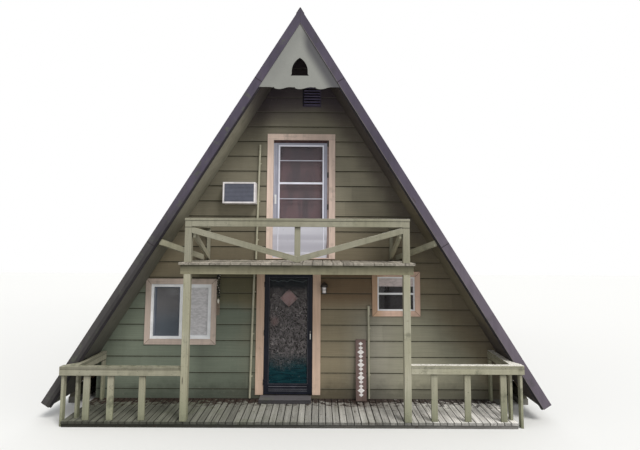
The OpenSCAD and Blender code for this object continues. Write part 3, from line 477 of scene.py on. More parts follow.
def painted_boards(name, colour, faded, chips=0.5, damp=0.5, lichen=0.0, gloss=0.66, layers=None):
    """Paint on boards with grain and tint. layers is a function that adds what one place has of its own."""
    f = Finish(name, 0.22)
    grain = f.grain()
    fibre = f.streaks((2.5, 70, 70), 5.0, 0.6, on=grain)
    broad = f.noise(1.1, 3.0)
    paint = f.blend(f.between(broad, 0.35, 0.68), colour, faded)
    if layers:
        paint = layers(f, paint)
    paint = f.vary(paint, f.attribute("tint"), 0, 1, 0.90, 1.07, smooth=False)
    paint = f.vary(paint, fibre, 0.3, 0.7, 0.90, 1.06)
    streak = f.streaks((14, 14, 0.9), 3.0)
    paint = f.vary(paint, streak, 0.35, 0.75, 1.0, 0.85)
    damp_spot = f.times(f.between(f.noise(5.0, 5.0, 0.65), 0.55, 0.72), f.between(f.z, 3.5, 0.0, 0.25, damp))
    paint = f.blend(damp_spot, paint, MOULD)
    splash = f.plus(f.z, f.times(f.noise(12.0, 4.0, 0.6), 0.3))
    paint = f.blend(f.between(splash, 0.42, 0.16, 0, damp), paint, MOSS)
    if lichen:
        paint = lichen_on(f, paint, lichen)
    knot = f.between(f.cells(1.0, randomness=0.9, on=f.stretch(grain, (1.15, 7.5, 4.0))), 0.085, 0.045)
    paint = f.blend(f.times(knot, 0.7 * min(1, chips * 2)), paint, (0.06, 0.05, 0.04))
    crack = f.between(f.streaks((1.3, 150, 40), 4.0, 0.5, on=grain, shift=(2, 8, 1)), 0.69, 0.72)
    paint = f.blend(f.times(crack, 0.8 * chips), paint, (0.04, 0.035, 0.028))
    chip_noise = f.streaks((9, 60, 60), 5.0, 0.7, on=grain, shift=(3, 1, 7))
    chip = f.times(f.between(chip_noise, 0.69, 0.72), chips)
    paint = f.blend(chip, paint, BARE_WOOD)
    rough = f.between(fibre, 0.3, 0.7, gloss - 0.08, gloss + 0.12)
    height = f.minus(f.times(fibre, 0.6), f.plus(chip, crack))
    return f.done(paint, rough, f.bump(height, 0.0014, 0.7))


# %% [markdown]
# ## Weathered boards
#
# Deck boards that lost their stain go silver grey. The soft early wood wears away between the hard late wood,
# so the grain stands up in ridges, and checks open along it. Dirt stains the boards red-brown near the wall,
# where a broom doesn't reach. Board edges are darker, and the damp left side is greener. Towards the right the
# boards grow paler, partly from weathering and partly as painted light where the sun falls.

# %% Weathered wood
DIRT_STAIN = (0.050, 0.026, 0.020)
DIRT_BLACK = (0.016, 0.012, 0.010)


def weathered_boards(name, left, right, stain_from, stain_to, stain_amount=0.34, edges=0.6,
                     lit_front_strip=(0, 1, 1, 1)):
    """Silver-grey boards from one tone at the left to a paler one at the right, partly painted light.

    Dirt grows from the depth stain_from to stain_to. The last argument gives two depths and painted light at
    each.
    """
    f = Finish(name, 0.15)
    grain = f.grain()
    fibre = f.streaks((1.6, 95, 60), 6.0, 0.65, on=grain)
    rings = f.streaks((0.8, 28, 20), 3.0, 0.5, on=grain, shift=(5, 2, 0))
    check = f.between(f.streaks((1.1, 130, 30), 4.0, 0.5, on=grain, shift=(1, 9, 4)), 0.65, 0.70)
    broad = f.noise(0.8, 3.0)
    # Paler towards the right, partly weathering and partly painted light.
    side = f.between(f.plus(f.x, f.times(broad, 1.5)), -0.9, 4.2, smooth=False)
    wood = f.blend(side, left, right)
    # Painted light: brighter still at the far right.
    wood = f.vary(wood, f.x, 1.4, 2.2, 0.92, 1.20)
    # Painted light on a strip near the front edge.
    wood = f.vary(wood, f.y, *lit_front_strip)
    wood = f.vary(wood, rings, 0.3, 0.7, 0.80, 1.10)
    wood = f.vary(wood, fibre, 0.25, 0.75, 0.76, 1.16)
    wood = f.vary(wood, f.attribute("tint"), 0, 1, 0.78, 1.14, smooth=False)
    wood = f.blend(f.times(check, 0.8), wood, (0.03, 0.025, 0.02))
    knot = f.between(f.cells(1.0, randomness=0.9, on=f.stretch(grain, (1.4, 8.0, 5.0))), 0.10, 0.05)
    wood = f.blend(f.times(knot, 0.7), wood, (0.055, 0.04, 0.03))
    speck = f.between(f.noise(48.0, 4.0, 0.7), 0.60, 0.68, 0, 0.65)
    wood = f.blend(speck, wood, (0.06, 0.055, 0.045))
    green = f.between(f.noise(2.3, 4.0, 0.6), 0.50, 0.70, 0, 0.45)
    wood = f.blend(f.times(green, f.minus(1.0, side)), wood, (0.12, 0.14, 0.075))
    if edges:
        rim = f.between(f.absolute(f.attribute("side")), 0.88, 1.0, 0, edges)
        wood = f.blend(rim, wood, DIRT_BLACK)
    wood = f.vary(wood, f.normal("Y"), -0.5, -0.8, 1.0, 0.40)
    near_wall = f.between(f.y, stain_from, stain_to, smooth=False)
    dirt = f.noise(10.0, 6.0, 0.72)
    stain = f.between(f.plus(dirt, f.times(near_wall, stain_amount)), 0.60, 0.72)
    trodden = f.inside(f.x, 0.75, 1.35, 0.5)
    trodden = f.times(trodden, f.between(f.plus(f.noise(4.5, 5.0, 0.7), near_wall), 0.50, 0.75, 0, 0.75))
    wood = f.blend(trodden, wood, (0.105, 0.075, 0.062))
    crumbs = f.between(f.noise(42.0, 4.0, 0.7), 0.45, 0.56)
    wood = f.blend(f.times(stain, 0.93), wood, f.blend(crumbs, DIRT_BLACK, DIRT_STAIN))
    height = f.minus(f.plus(fibre, f.times(rings, 0.5)), f.times(check, 1.5))
    height = f.plus(height, f.times(stain, crumbs))
    return f.done(wood, f.between(fibre, 0.3, 0.7, 0.78, 0.95), f.bump(height, 0.0026, 0.8))


# %% [markdown]
# ## What single places have of their own
#
# Dirt gathers in the same places on every building: in a mitre and at a post's foot. Other marks here are
# painted light and shade: dark lines under a cap, shade high under the eaves, lit tops. Each function below
# adds the marks of one group of boards to the paint, and `painted_boards` calls it before the grain and the
# chips go on top. The places are read from the CAD boxes, so the marks follow the part.

# %% Layers of single places
LUMBER = 0.038
left_cap, right_cap = (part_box(node)[1].z - LUMBER for node in ("left_porch_rail", "right_porch_rail"))
balcony_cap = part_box("balcony_rails")[1].z - LUMBER
RAIL_DEPTH = 0.089
wall_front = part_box("front_wall_left")[0].y
window_low, window_high = solids("window_frames")
window_low, window_high = window_low[window_low[:, 1] < 0], window_high[window_low[:, 1] < 0]
blind_low, blind_high = solids("window_blinds")
BLIND_SHORT = 0.040
right_blind_z = blind_low[(blind_low[:, 1] < 0) & (blind_low[:, 0] > 0), 2].max() + BLIND_SHORT


def foot_layer(f, paint):
    """Green damp that climbs the feet of the posts."""
    foot = f.between(f.plus(f.z, f.times(f.noise(6.0, 4.0, 0.6), 0.3)), 0.80, 0.35, 0, 0.5)
    return f.blend(foot, paint, (0.215, 0.235, 0.150))


def rail_layers(f, paint):
    """Painted shade under caps and rail boards and on cap fronts, and a painted highlight atop the right rail.
    """
    x, z = f.x, f.z
    porch_z = f.plus(z, f.between(x, 0.1, -0.1, 0, right_cap - left_cap))
    paint = f.vary(paint, z, 1.5, 2.5, 1.0, 0.84)
    paint = f.vary(paint, f.minus(x, f.times(z, 4.0)), -5.5, -2.0, 0.84, 1.0)
    # Painted shade on the porch caps' front faces, so that their tops read lighter.
    edge = f.times(f.inside(porch_z, right_cap + 0.002, right_cap + 0.0355, 0.002),
                   f.between(f.normal("Z"), 0.5, 0.2))
    paint = f.shade(paint, f.minus(1.0, f.times(edge, f.between(x, -1.0, 1.0, 0.30, 0.26))))
    # Painted highlight on the faces that look up at the right.
    top = f.times(f.between(f.normal("Z"), 0.6, 0.9), f.between(f.minus(x, z), -0.5, 0.3))
    paint = f.vary(paint, top, 0, 1, 1.0, 1.4, smooth=False)
    # Painted shade: a dark line under each cap and under each rail board.
    for level, cap, amount in ((porch_z, right_cap, 0.55), (z, balcony_cap, 0.6)):
        line = f.inside(level, cap - 0.010, cap + 0.0005, 0.003)
        under = f.inside(level, cap - RAIL_DEPTH - 0.022, cap - RAIL_DEPTH - 0.002, 0.003)
        paint = f.blend(f.times(f.larger(line, under), amount), paint, (0.055, 0.05, 0.033))
    return foot_layer(f, paint)


def beam_layers(f, paint):
    """Painted shade under the deck's edge, and painted light lower down."""
    return f.vary(paint, f.z, 2.34, 2.215, 0.52, 1.75, smooth=False)


def window_trim_layers(f, paint):
    """Greyer pink at the left window, more orange on the right one's left board, and a line in each mitre."""
    x, z = f.x, f.z
    right = f.between(x, -0.1, 0.1)
    tone = f.blend(f.between(x, window_low[1, 0] - 0.02, window_low[1, 0] + 0.15), (0.60, 0.385, 0.25),
                   (0.68, 0.465, 0.365))
    paint = f.blend(0.9, paint, f.blend(right, (0.60, 0.495, 0.43), tone))
    for low, high in zip(window_low, window_high):
        reach = [f.minus(f.absolute(f.minus(value, (low[i] + high[i]) / 2)), (high[i] - low[i]) / 2)
                 for value, i in ((x, 0), (z, 2))]
        mitre = f.between(f.absolute(f.minus(*reach)), 0.007, 0.003)
        near = f.between(f.smaller(*reach), 0.0, 0.004)
        paint = f.blend(f.times(f.times(mitre, near), 0.75), paint, (0.16, 0.09, 0.06))
    return paint


def door_trim_layers(f, paint):
    """The upper door's trim is pale, with painted light at the left and painted shade at the right."""
    side = f.between(f.x, -0.35, 0.35)
    return f.blend(0.85, paint, f.blend(side, (0.88, 0.69, 0.59), (0.685, 0.535, 0.46)))


def barge_layers(f, paint):
    """Purple, paler low down at the right. The left one is grey with lichen low down."""
    x, z = f.x, f.z
    d = roof_distance(f)
    low = f.between(f.plus(z, f.times(f.noise(3.0, 4.0, 0.6), 1.2)), 4.6, 2.6)
    left = f.between(x, 0.1, -0.1)
    paint = f.blend(f.times(low, 0.85), paint, f.blend(left, (0.145, 0.123, 0.152), (0.066, 0.063, 0.058)))
    patch = f.between(f.noise(9.0, 5.0, 0.7), 0.52, 0.66, 0, 0.6)
    paint = f.blend(f.times(patch, left), paint, (0.098, 0.105, 0.080))
    strip = f.times(f.between(d, 0.052, 0.042, 0, 0.5), left)
    paint = f.blend(f.times(strip, low), paint, (0.018, 0.016, 0.017))
    rim = f.times(f.between(d, 0.001, -0.001, 0, 0.8), f.minus(1.0, left))
    return f.blend(rim, paint, (0.20, 0.18, 0.18))


def soffit_layers(f, paint):
    """Left soffit painted lit, darker at its ends; right one painted shade, purple above and olive lower down.
    """
    x, y, z = f.x, f.y, f.z
    # Painted light on the left soffit, lighter towards its front, with painted shade low down and under the
    # peak.
    left = f.blend(f.between(y, wall_front - 0.05, wall_front - 0.50), (0.30, 0.285, 0.225),
                   (0.39, 0.37, 0.29))
    left = f.blend(f.between(z, 3.4, 1.9, 0, 0.92), left, (0.165, 0.160, 0.135))
    left = f.blend(f.between(z, 4.55, 5.15, 0, 0.85), left, (0.085, 0.070, 0.078))
    left = f.blend(f.between(z, 1.5, 0.7, 0, 0.7), left, (0.060, 0.058, 0.060))
    # Painted shade on the right soffit, with painted light on its front edge.
    olive = f.inside(f.plus(z, f.times(f.noise(2.0, 3.0), 0.6)), 1.7, 3.9, 0.3)
    right = f.blend(olive, (0.085, 0.070, 0.066), (0.215, 0.187, 0.130))
    right = f.blend(f.between(y, -4.16, -4.20), right, (0.30, 0.26, 0.22))
    return f.blend(0.92, paint, f.blend(f.between(x, 0.02, -0.02), right, left))


# %% Painted finishes
SAGE = ((0.355, 0.340, 0.246), (0.415, 0.398, 0.308))
sage = painted_boards("sage_paint", *SAGE, 0.8, 0.55, lichen=0.9, layers=foot_layer)
sage_rail = painted_boards("sage_rail_paint", *SAGE, 0.8, 0.55, lichen=0.9, layers=rail_layers)
sage_beam = painted_boards("sage_beam_paint", (0.140, 0.130, 0.085), (0.165, 0.154, 0.104), 0.6, 0.5,
                           lichen=0.5, layers=beam_layers)
peach = painted_boards("peach_trim_paint", (0.60, 0.420, 0.310), (0.68, 0.505, 0.395), 0.2, 0.2, gloss=0.55)
window_peach = painted_boards("window_trim_paint", (0.66, 0.50, 0.41), (0.72, 0.57, 0.47), 0.2, 0.2,
                              gloss=0.55, layers=window_trim_layers)
pale_peach = painted_boards("upper_trim_paint", (0.80, 0.62, 0.53), (0.86, 0.68, 0.58), 0.2, 0.1, gloss=0.55,
                            layers=door_trim_layers)
soffit_paint = painted_boards("soffit_paint", (0.20, 0.19, 0.155), (0.23, 0.22, 0.18), 0.3, 0.3,
                              layers=soffit_layers)
fly_paint = painted_boards("fly_rafter_paint", (0.030, 0.026, 0.032), (0.042, 0.038, 0.042), 0.3, 0.3)
barge_paint = painted_boards("barge_paint", (0.066, 0.056, 0.083), (0.086, 0.072, 0.104), 0.55, 0.35,
                             lichen=0.25, layers=barge_layers)
framing = painted_boards("bare_framing", (0.30, 0.20, 0.115), (0.36, 0.25, 0.15), 0.0, 0.3)
# The roof sills are painted nearly black, as painted shade for the dark space at the roof's feet.
dark_sill = painted_boards("dark_sill", (0.050, 0.042, 0.034), (0.075, 0.062, 0.05), 0.3, 0.6)
sign_stain = painted_boards("sign_stain", (0.170, 0.111, 0.103), (0.215, 0.152, 0.138), 0.6, 0.2)
balcony_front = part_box("balcony_deck")[0].y
deck_grey = weathered_boards("deck_grey", (0.185, 0.188, 0.152), (0.90, 0.87, 0.83), -4.0, -3.5)
balcony_grey = weathered_boards("balcony_grey", (0.52, 0.475, 0.40), (0.62, 0.57, 0.49), -3.85, -3.40, 0.24,
                                0.35, (balcony_front + 0.16, balcony_front + 0.04, 1.06, 1.55))
step_grey = weathered_boards("step_grey", (0.125, 0.118, 0.128), (0.130, 0.122, 0.132), -3.60, -3.40, 0.2,
                             0.0)
print(len(bpy.data.materials), "finishes so far")

# %% The wooden nodes
WOODEN = (
    ("left_porch_rail", sage_rail, "rail_paint", 0.004), ("right_porch_rail", sage_rail, "rail_paint", 0.004),
    ("balcony_frame", sage_beam, "rail_paint", 0.003), ("balcony_posts", sage, "rail_paint", 0.005),
    ("balcony_rails", sage_rail, "rail_paint", 0.004), ("balcony_struts", sage, "rail_paint", 0.003),
    ("entry_trim", peach, "trim_paint", 0.003), ("window_trims", window_peach, "trim_paint", 0.003),
    ("upper_door_trim", pale_peach, "trim_paint", 0.003), ("entry_frame", peach, "trim_paint", 0.002),
    ("front_barge_boards", barge_paint, "barge_paint", 0.004),
    ("back_barge_boards", barge_paint, "barge_paint", 0.004),
    ("fly_rafters", fly_paint, "soffit_paint", 0.003), ("soffits", soffit_paint, "soffit_paint", 0.002),
    ("rafters", framing, "framing", 0.002), ("ridge_board", framing, "framing", 0.002),
    ("roof_sills", dark_sill, "framing", 0.003), ("doorstep", step_grey, "deck_wood", 0.005),
    ("sign_board", sign_stain, "sign_wood", 0.003),
)
for node, material, slot, edge in WOODEN:
    dress(node, material, edge)
print("dressed", len(WOODEN), "wooden nodes")

# %% [markdown]
# ## Joints in the barge boards
#
# A barge board is longer than any plank, so each side has two butt joints, closed by dark battens. A batten
# lies square to the roof line: at s metres down the slope and d outside the line, x = s * cos + d * sin and
# z = peak - s * sin + d * cos.

# %% Barge joints
BARGE_JOINTS = (1.17, 4.28)


def barge_joints():
    """The battens of both sides: a flat ring in y at either end of d, mirrored to the left."""
    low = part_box("front_barge_boards")[0]
    s = np.array(BARGE_JOINTS)[:, None, None]
    across = np.array([-0.005, -0.005, 0.005, 0.005])[None, None, :]
    d = np.array([-0.006, 0.130])[None, :, None]
    y = np.array([low.y + 0.004, low.y - 0.0015, low.y - 0.0015, low.y + 0.004])[None, None, :]
    x = (s + across) * COS + d * SIN
    z = PEAK_Z - (s + across) * SIN + d * COS
    right = xyz(x, y, z)
    return loft(np.concatenate([right, right * (-1, 1, 1)]))


# %% [markdown]
# ## Lap siding
#
# Each course of siding is a long board whose butt stands out over the top of the board below, so its face
# slopes. The boards end in a slant at the roof and are cut around every opening. A course is split into level
# bands at the edges of the openings, each band into runs between them, and a run is a loft whose ends follow
# the roof: x(t, z) = left(z) + t * (right(z) - left(z)). The face's depth falls evenly from butt to top.

# %% Siding measures
LAP_PITCH = 0.2636
FIRST_LAP = 0.1017
BUTT_OUT = 0.0155
TOP_OUT = 0.002
BUTT_ROUND = 0.003
ROOF_GAP = 0.002
TRIM_GAP = 0.001
STATION_GAP = 0.3
BOARD_LENGTH = 3.66
JOINT_GAP = 0.0009
JOINT_CLEAR = 0.12
THIN_BAND = 0.002
SHORT_RUN = 0.01
WARP = 0.0006
MOST_OUT = 0.0175
WINDOW_TRIM = 0.09

front_y = wall_low.y
back_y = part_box("back_wall_lower")[1].y
floor_z = wall_low.z
deck_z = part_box("porch_deck")[1].z


def roof_x(z):
    """Half width of the gable wall at a height, inside the soffit and the knee walls."""
    return np.minimum((PEAK_Z - z) / SLOPE, knee_x) - ROOF_GAP


def opening_boxes():
    """The level boxes, in x and z, that the siding leaves free on the front and on the back."""
    low, high = solids("window_frames")
    boxes = {"front": [], "back": []}
    for a, b in zip(low, high):
        side = "front" if a[1] < 0 else "back"
        boxes[side].append((a[0] - WINDOW_TRIM, b[0] + WINDOW_TRIM, a[2] - WINDOW_TRIM, b[2] + WINDOW_TRIM))
    for node in ("entry_trim", "upper_door_trim", "air_conditioner", "balcony_deck"):
        a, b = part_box(node)
        boxes["front"].append((a.x, b.x, a.z, b.z))
    a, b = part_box("balcony_frame")
    boxes["front"].append((a.x, b.x, a.z, b.z))
    low, high = solids("gable_vents")
    for a, b in zip(low, high):
        boxes["front" if a[1] < 0 else "back"].append((a[0], b[0], a[2], b[2]))
    return {side: np.array(some) + (-TRIM_GAP, TRIM_GAP, -TRIM_GAP, TRIM_GAP) for side, some in boxes.items()}


# %% Siding runs
def siding_runs(course_low, course_high, boxes):
    """Bands of one course between level edges, and the free runs in each as (left edge, right edge)."""
    knee_z = PEAK_Z - knee_x * SLOPE
    edges = np.concatenate([[course_low, course_high, knee_z], boxes[:, 2], boxes[:, 3]])
    edges = np.unique(np.round(edges[(edges >= course_low) & (edges <= course_high)], 5))
    runs = []
    for low, high in zip(edges[:-1], edges[1:]):
        if high - low < THIN_BAND:
            continue
        middle = (low + high) / 2
        blocked = sorted((box[0], box[1]) for box in boxes if box[2] < middle < box[3])
        left = None
        for start, end in blocked:
            runs.append((low, high, left, start))
            left = end if left is None else max(left, end)
        runs.append((low, high, left, None))
    return runs


def cut_run(high, left, right, joints):
    """A run cut at the joints between its boards, as (left, right) pairs with a small gap at every joint."""
    start = -roof_x(high) if left is None else left
    end = roof_x(high) if right is None else right
    inside = joints[(joints > start + JOINT_CLEAR) & (joints < end - JOINT_CLEAR)]
    ends = [left, *np.stack([inside - JOINT_GAP, inside + JOINT_GAP], axis=1).ravel(), right]
    return list(zip(ends[::2], ends[1::2]))


def siding_run(low, high, left, right, course_low, wall_y, out, phase):
    """One run as rings along x. The butt is rounded where the run starts at its course's lower edge."""
    z = [low, low, low + BUTT_ROUND, high, high] if low == course_low else [low, low, high, high]
    z = np.array(z)
    face = BUTT_OUT + (TOP_OUT - BUTT_OUT) * (z - course_low) / LAP_PITCH
    face[[0, -1]] = 0
    if low == course_low:
        face[1] -= BUTT_ROUND * 0.6
    x0 = -roof_x(z) if left is None else np.full(len(z), left)
    x1 = roof_x(z) if right is None else np.full(len(z), right)
    if (x1 - x0).max() < SHORT_RUN:
        return None
    x1 = np.maximum(x1, x0 + 0.0005)
    stations = max(2, int(np.ceil((x1 - x0).max() / STATION_GAP)) + 1)
    t = np.linspace(0, 1, stations)[:, None]
    x = x0 + t * (x1 - x0)
    wave = np.sin(x * 2.9 + phase) + np.sin(x * 1.3 - 2 * phase)
    depth = np.clip(face + (face > 0) * WARP * wave, 0, MOST_OUT)
    lift = np.where(z == course_low, 0.0007 * wave, 0.0)
    return np.stack([x, wall_y + out * depth, z + lift], axis=-1)


def lap_siding(name, wall_y, out, boxes, bottom, material):
    """All courses of one gable wall, from the bottom to the peak."""
    first = floor_z + FIRST_LAP
    laps = np.concatenate([[bottom], np.arange(first, PEAK_Z, LAP_PITCH)])
    made, across, tint = [], [], []
    for number, course_low in enumerate(laps):
        course_high = laps[number + 1] if number + 1 < len(laps) else PEAK_Z - 0.03
        board_low = course_low if number else first - LAP_PITCH
        phase = rng.uniform(0, 6)
        joints = rng.uniform(-knee_x, BOARD_LENGTH - knee_x) + np.arange(2) * BOARD_LENGTH
        shades = rng.random(len(joints) + 1)
        for low, high, left, right in siding_runs(course_low, course_high, boxes):
            for start, end in cut_run(high, left, right, joints):
                rings = siding_run(low, high, start, end, board_low if number else bottom, wall_y, out, phase)
                if rings is None:
                    continue
                made.append(loft(rings))
                across.append((rings[..., 2].ravel() - board_low) / LAP_PITCH)
                shade = shades[np.searchsorted(joints, rings[..., 0].mean())]
                tint.append(np.full(rings.size // 3, shade))
    points, faces = join(made)
    attributes = {"across": np.concatenate(across), "tint": np.concatenate(tint)}
    return add_piece(name, (points, faces), material, attributes=attributes)


# %% [markdown]
# Siding paint is a warm olive, greener where the lower left stays damp. Painted shade darkens it under the
# balcony, along the eaves, and dark and purplish under the peak; painted light brightens it at the lower right
# and in a few patches. A dark line of painted shade sits under every lap, and the pressed grain runs level.

# %% Siding finish
def siding_finish():
    f = Finish("siding_paint", 0.2)
    x, z = f.x, f.z
    across, tint = f.attribute("across"), f.attribute("tint")
    fibre = f.streaks((2.2, 30, 75), 5.0, 0.6)
    cloud = f.noise(0.9, 4.0, 0.6)
    paint = f.blend(f.between(z, 2.3, 3.6), (0.215, 0.182, 0.122), (0.235, 0.216, 0.160))
    inward = f.plus(f.times(roof_distance(f), -1.0), f.times(cloud, 0.5))
    # Painted light: paler at the lower right, away from the eave's shade.
    pale = f.times(f.between(x, 0.6, 1.3), f.between(z, 2.0, 1.2))
    pale = f.times(pale, f.between(inward, 0.5, 1.0))
    paint = f.blend(pale, paint,
                    f.blend(f.between(x, 1.2, 2.0), (0.245, 0.233, 0.190), (0.335, 0.322, 0.240)))
    reach = f.plus(x, f.between(z, 1.5, 1.7, -0.7, 0.0))
    damp = f.between(f.plus(reach, f.times(cloud, 1.6)), 0.1, -1.2)
    paint = f.blend(f.times(damp, f.between(z, 2.15, 1.8)), paint, (0.180, 0.207, 0.160))
    # Painted shade under the balcony.
    under = f.times(f.between(f.absolute(x), 1.95, 1.65), f.inside(z, 1.65, 2.3, 0.15))
    paint = f.blend(f.times(under, 0.65), paint,
                    f.blend(f.between(x, -0.4, 0.4), (0.125, 0.118, 0.062), (0.145, 0.082, 0.043)))
    # Painted shade along the eaves, most at the right.
    side = f.larger(f.between(x, 0.1, 0.7, 0, 0.85), f.between(z, 4.3, 5.0))
    eave = f.times(f.times(f.between(inward, 0.72, 0.32), side), f.between(z, 2.2, 3.4, 0.3, 0.85))
    paint = f.blend(eave, paint, (0.090, 0.073, 0.064))
    # Painted shade, dark and purplish, under the peak.
    peak = f.between(f.plus(z, f.times(cloud, 0.8)), 5.0, 5.75, 0, 0.88)
    paint = f.blend(peak, paint, (0.070, 0.055, 0.068))
    foot = f.plus(z, f.times(f.noise(7.0, 4.0, 0.6), 0.3))
    paint = f.vary(paint, foot, 0.62, 0.28, 1.0, 0.52)
    paint = f.vary(paint, f.inside(x, -1.75, -0.6, 0.15), 0, 1, 1.0, 0.76)
    # Painted light in a few patches.
    lit_patches = f.times(f.inside(f.absolute(x), 0.3, 1.5, 0.2),
                        f.larger(f.inside(z, 0.6, 1.7, 0.15), f.inside(z, 3.1, 4.4, 0.3)))
    paint = f.vary(paint, lit_patches, 0, 1, 1.0, 1.17)
    paint = f.vary(paint, tint, 0, 1, 0.91, 1.07, smooth=False)
    paint = f.vary(paint, cloud, 0.35, 0.65, 0.94, 1.06)
    paint = f.vary(paint, fibre, 0.3, 0.7, 0.92, 1.06)
    drip = f.streaks((11, 11, 0.7), 4.0, 0.6)
    paint = f.vary(paint, drip, 0.4, 0.75, 1.0, 0.95)
    rub = f.between(f.noise(26.0, 5.0, 0.65), 0.60, 0.72, 0, 0.25)
    paint = f.blend(rub, paint, (0.27, 0.26, 0.20))
    spot = f.between(f.noise(75.0, 3.0, 0.6), 0.68, 0.72, 0, 0.45)
    paint = f.blend(spot, paint, (0.05, 0.055, 0.035))
    # Painted shade: a dark line under every lap with a softer band below it, fainter where other painted shade
    # lies.
    ragged = f.times(f.streaks((16, 16, 40), 4.0, 0.7), 0.06)
    clear = f.minus(1.0, f.times(f.larger(peak, eave), 0.85))
    line = f.times(f.between(f.plus(across, ragged), 0.955, 0.985, 0, 0.93), clear)
    paint = f.blend(line, paint, (0.022, 0.019, 0.013))
    soft_line = f.between(f.plus(across, ragged), 0.80, 1.0, 0, 0.22)
    paint = f.blend(soft_line, paint, (0.05, 0.045, 0.03))
    lip = f.between(across, 0.03, 0.0, 0, 0.35)
    paint = f.blend(lip, paint, (0.27, 0.26, 0.20))
    return f.done(paint, f.between(fibre, 0.3, 0.7, 0.62, 0.78), f.bump(fibre, 0.0011, 0.55))


siding_paint = siding_finish()
boxes = opening_boxes()
lap_siding("front_siding", front_y, -1, boxes["front"], deck_z + 0.002, siding_paint)
lap_siding("back_siding", back_y, 1, boxes["back"], 0.01, siding_paint)

# %% [markdown]
# ## Shingles
#
# Three-tab shingles lie in rows that each cover the top of the row below. A tab is a thin wedge, thick at its
# butt. A point of the roof is counted by s, metres up the slope from the foot, by y, and by h, metres above the
# boards: x = side * (foot_x - s * cos(pitch) + h * sin(pitch)) and
# z = foot_z + s * sin(pitch) + h * cos(pitch).

# %% Shingle rows
EXPOSURE = 0.143
TAB = 0.305
SLOT = 0.008
TAB_BUTT = 0.0105
TAB_TOP = 0.0055
UNDER_H = 0.0045

roof_low, roof_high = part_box("right_roof")
foot_x = roof_high.x
foot_z = roof_high.z - (roof_high.x - roof_low.x) * SLOPE
slope_length = foot_x / COS


def on_roof(side, s, y, h):
    """Points of the roof from s, y and h."""
    x = side * (foot_x - s * COS + h * SIN)
    z = foot_z + s * SIN + h * COS
    return xyz(x, y, z)


def shingles(side):
    """Tabs and the strips under their slots, as lofts up the slope, with a tint for each tab."""
    rows = int(slope_length / EXPOSURE)
    columns = int((roof_high.y - roof_low.y) / TAB) + 2
    row = np.repeat(np.arange(rows), columns).astype(float)
    column = np.tile(np.arange(columns), rows)
    start = roof_low.y + (column - 0.5 * (row % 2) - 0.25 * (row // 2 % 2)) * TAB
    y0 = np.clip(start + SLOT / 2 + rng.uniform(-0.001, 0.001, len(row)), roof_low.y, roof_high.y)
    y1 = np.clip(start + TAB - SLOT / 2 + rng.uniform(-0.001, 0.001, len(row)), roof_low.y, roof_high.y)
    keep = y1 - y0 > 0.02
    row, y0, y1 = row[keep], y0[keep], y1[keep]
    drop = rng.uniform(-0.002, 0.002, len(row))
    curl = rng.uniform(0, 0.0015, len(row)) + (rng.random(len(row)) > 0.97) * 0.0008
    s0 = np.maximum(row * EXPOSURE + drop, 0.0)
    s = np.stack([s0, s0 + 0.006, (row + 1.08) * EXPOSURE], axis=1)
    s = np.minimum(s, slope_length - 0.004)
    top = np.stack([TAB_BUTT - 0.002 + curl, TAB_BUTT + curl, np.full(len(row), TAB_TOP)], axis=1)
    bottom = np.zeros_like(top)
    ring_y = np.stack([y0, y0, y1, y1], axis=1)[:, None, :].repeat(3, axis=1)
    ring_h = np.stack([bottom, top, top, bottom], axis=2)
    ring_s = s[:, :, None].repeat(4, axis=2)
    tabs = on_roof(side, ring_s, ring_y, ring_h)
    tints = np.repeat(rng.random(len(row)), 12)
    under = np.arange(rows)[:, None, None] * EXPOSURE + np.array([0.0, EXPOSURE])[None, :, None]
    under = np.minimum(under, slope_length - 0.004).repeat(4, axis=2)
    under_y = np.array([roof_low.y, roof_low.y, roof_high.y, roof_high.y])
    under_h = np.array([0, UNDER_H, UNDER_H, 0])
    strips = on_roof(side, under, under_y, under_h)
    made = join([loft(tabs), loft(strips)])
    return made, np.concatenate([tints, np.full(strips.size // 3, 0.1)])


# %% [markdown]
# The ridge is closed by single tabs bent over it, each lying on the one before. Their ring follows the right
# slope up, turns over the ridge on a small arc and goes down the left slope, then comes back underneath.

# %% Ridge tabs
CAP_EXPOSURE = 0.14
CAP_BUTT = 0.0072
CAP_TAIL = 0.003
RIDGE_ARC = 5
RIDGE_SOFT = 0.012

cap_low, cap_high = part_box("ridge_cap")
cap_reach = (cap_high.x - 0.006 * SIN) / COS - 0.004
barge_top = 0.014


def ridge_ring(thick):
    """Cross-section in x and z of a bent tab: outside from left to right, then inside back to the left."""
    def path(h):
        apex = foot_z + foot_x * SLOPE + (h + barge_top) / COS
        x = np.linspace(-RIDGE_SOFT, RIDGE_SOFT, RIDGE_ARC)
        z = apex - (x ** 2 / (2 * RIDGE_SOFT) + RIDGE_SOFT / 2) * SLOPE
        x_end = cap_reach * COS
        z_end = apex - x_end * SLOPE
        return np.stack([np.r_[-x_end, x, x_end], np.r_[z_end, z, z_end]], axis=1)

    return np.concatenate([path(thick), path(0.0)[::-1]])


def ridge_tabs():
    """Each tab is a loft along Y between a thick ring at its butt and a thin one at its tail."""
    starts = np.arange(cap_low.y, cap_high.y - 0.02, CAP_EXPOSURE)
    ends = np.minimum(starts + CAP_EXPOSURE * 1.1, cap_high.y)
    profile = np.stack([ridge_ring(CAP_BUTT), ridge_ring(CAP_TAIL)])
    y = np.stack([starts, ends], axis=1)[:, :, None]
    tint = np.repeat(rng.random(len(starts)), 2 * profile.shape[1])
    return loft(xyz(profile[..., 0], y, profile[..., 1])), tint


# %% [markdown]
# Shingle grit is crushed stone, so its colour is a fine speckle. Whole tabs differ a little, as they do when
# they come from different bundles, and pale lichen sits in rounded patches.

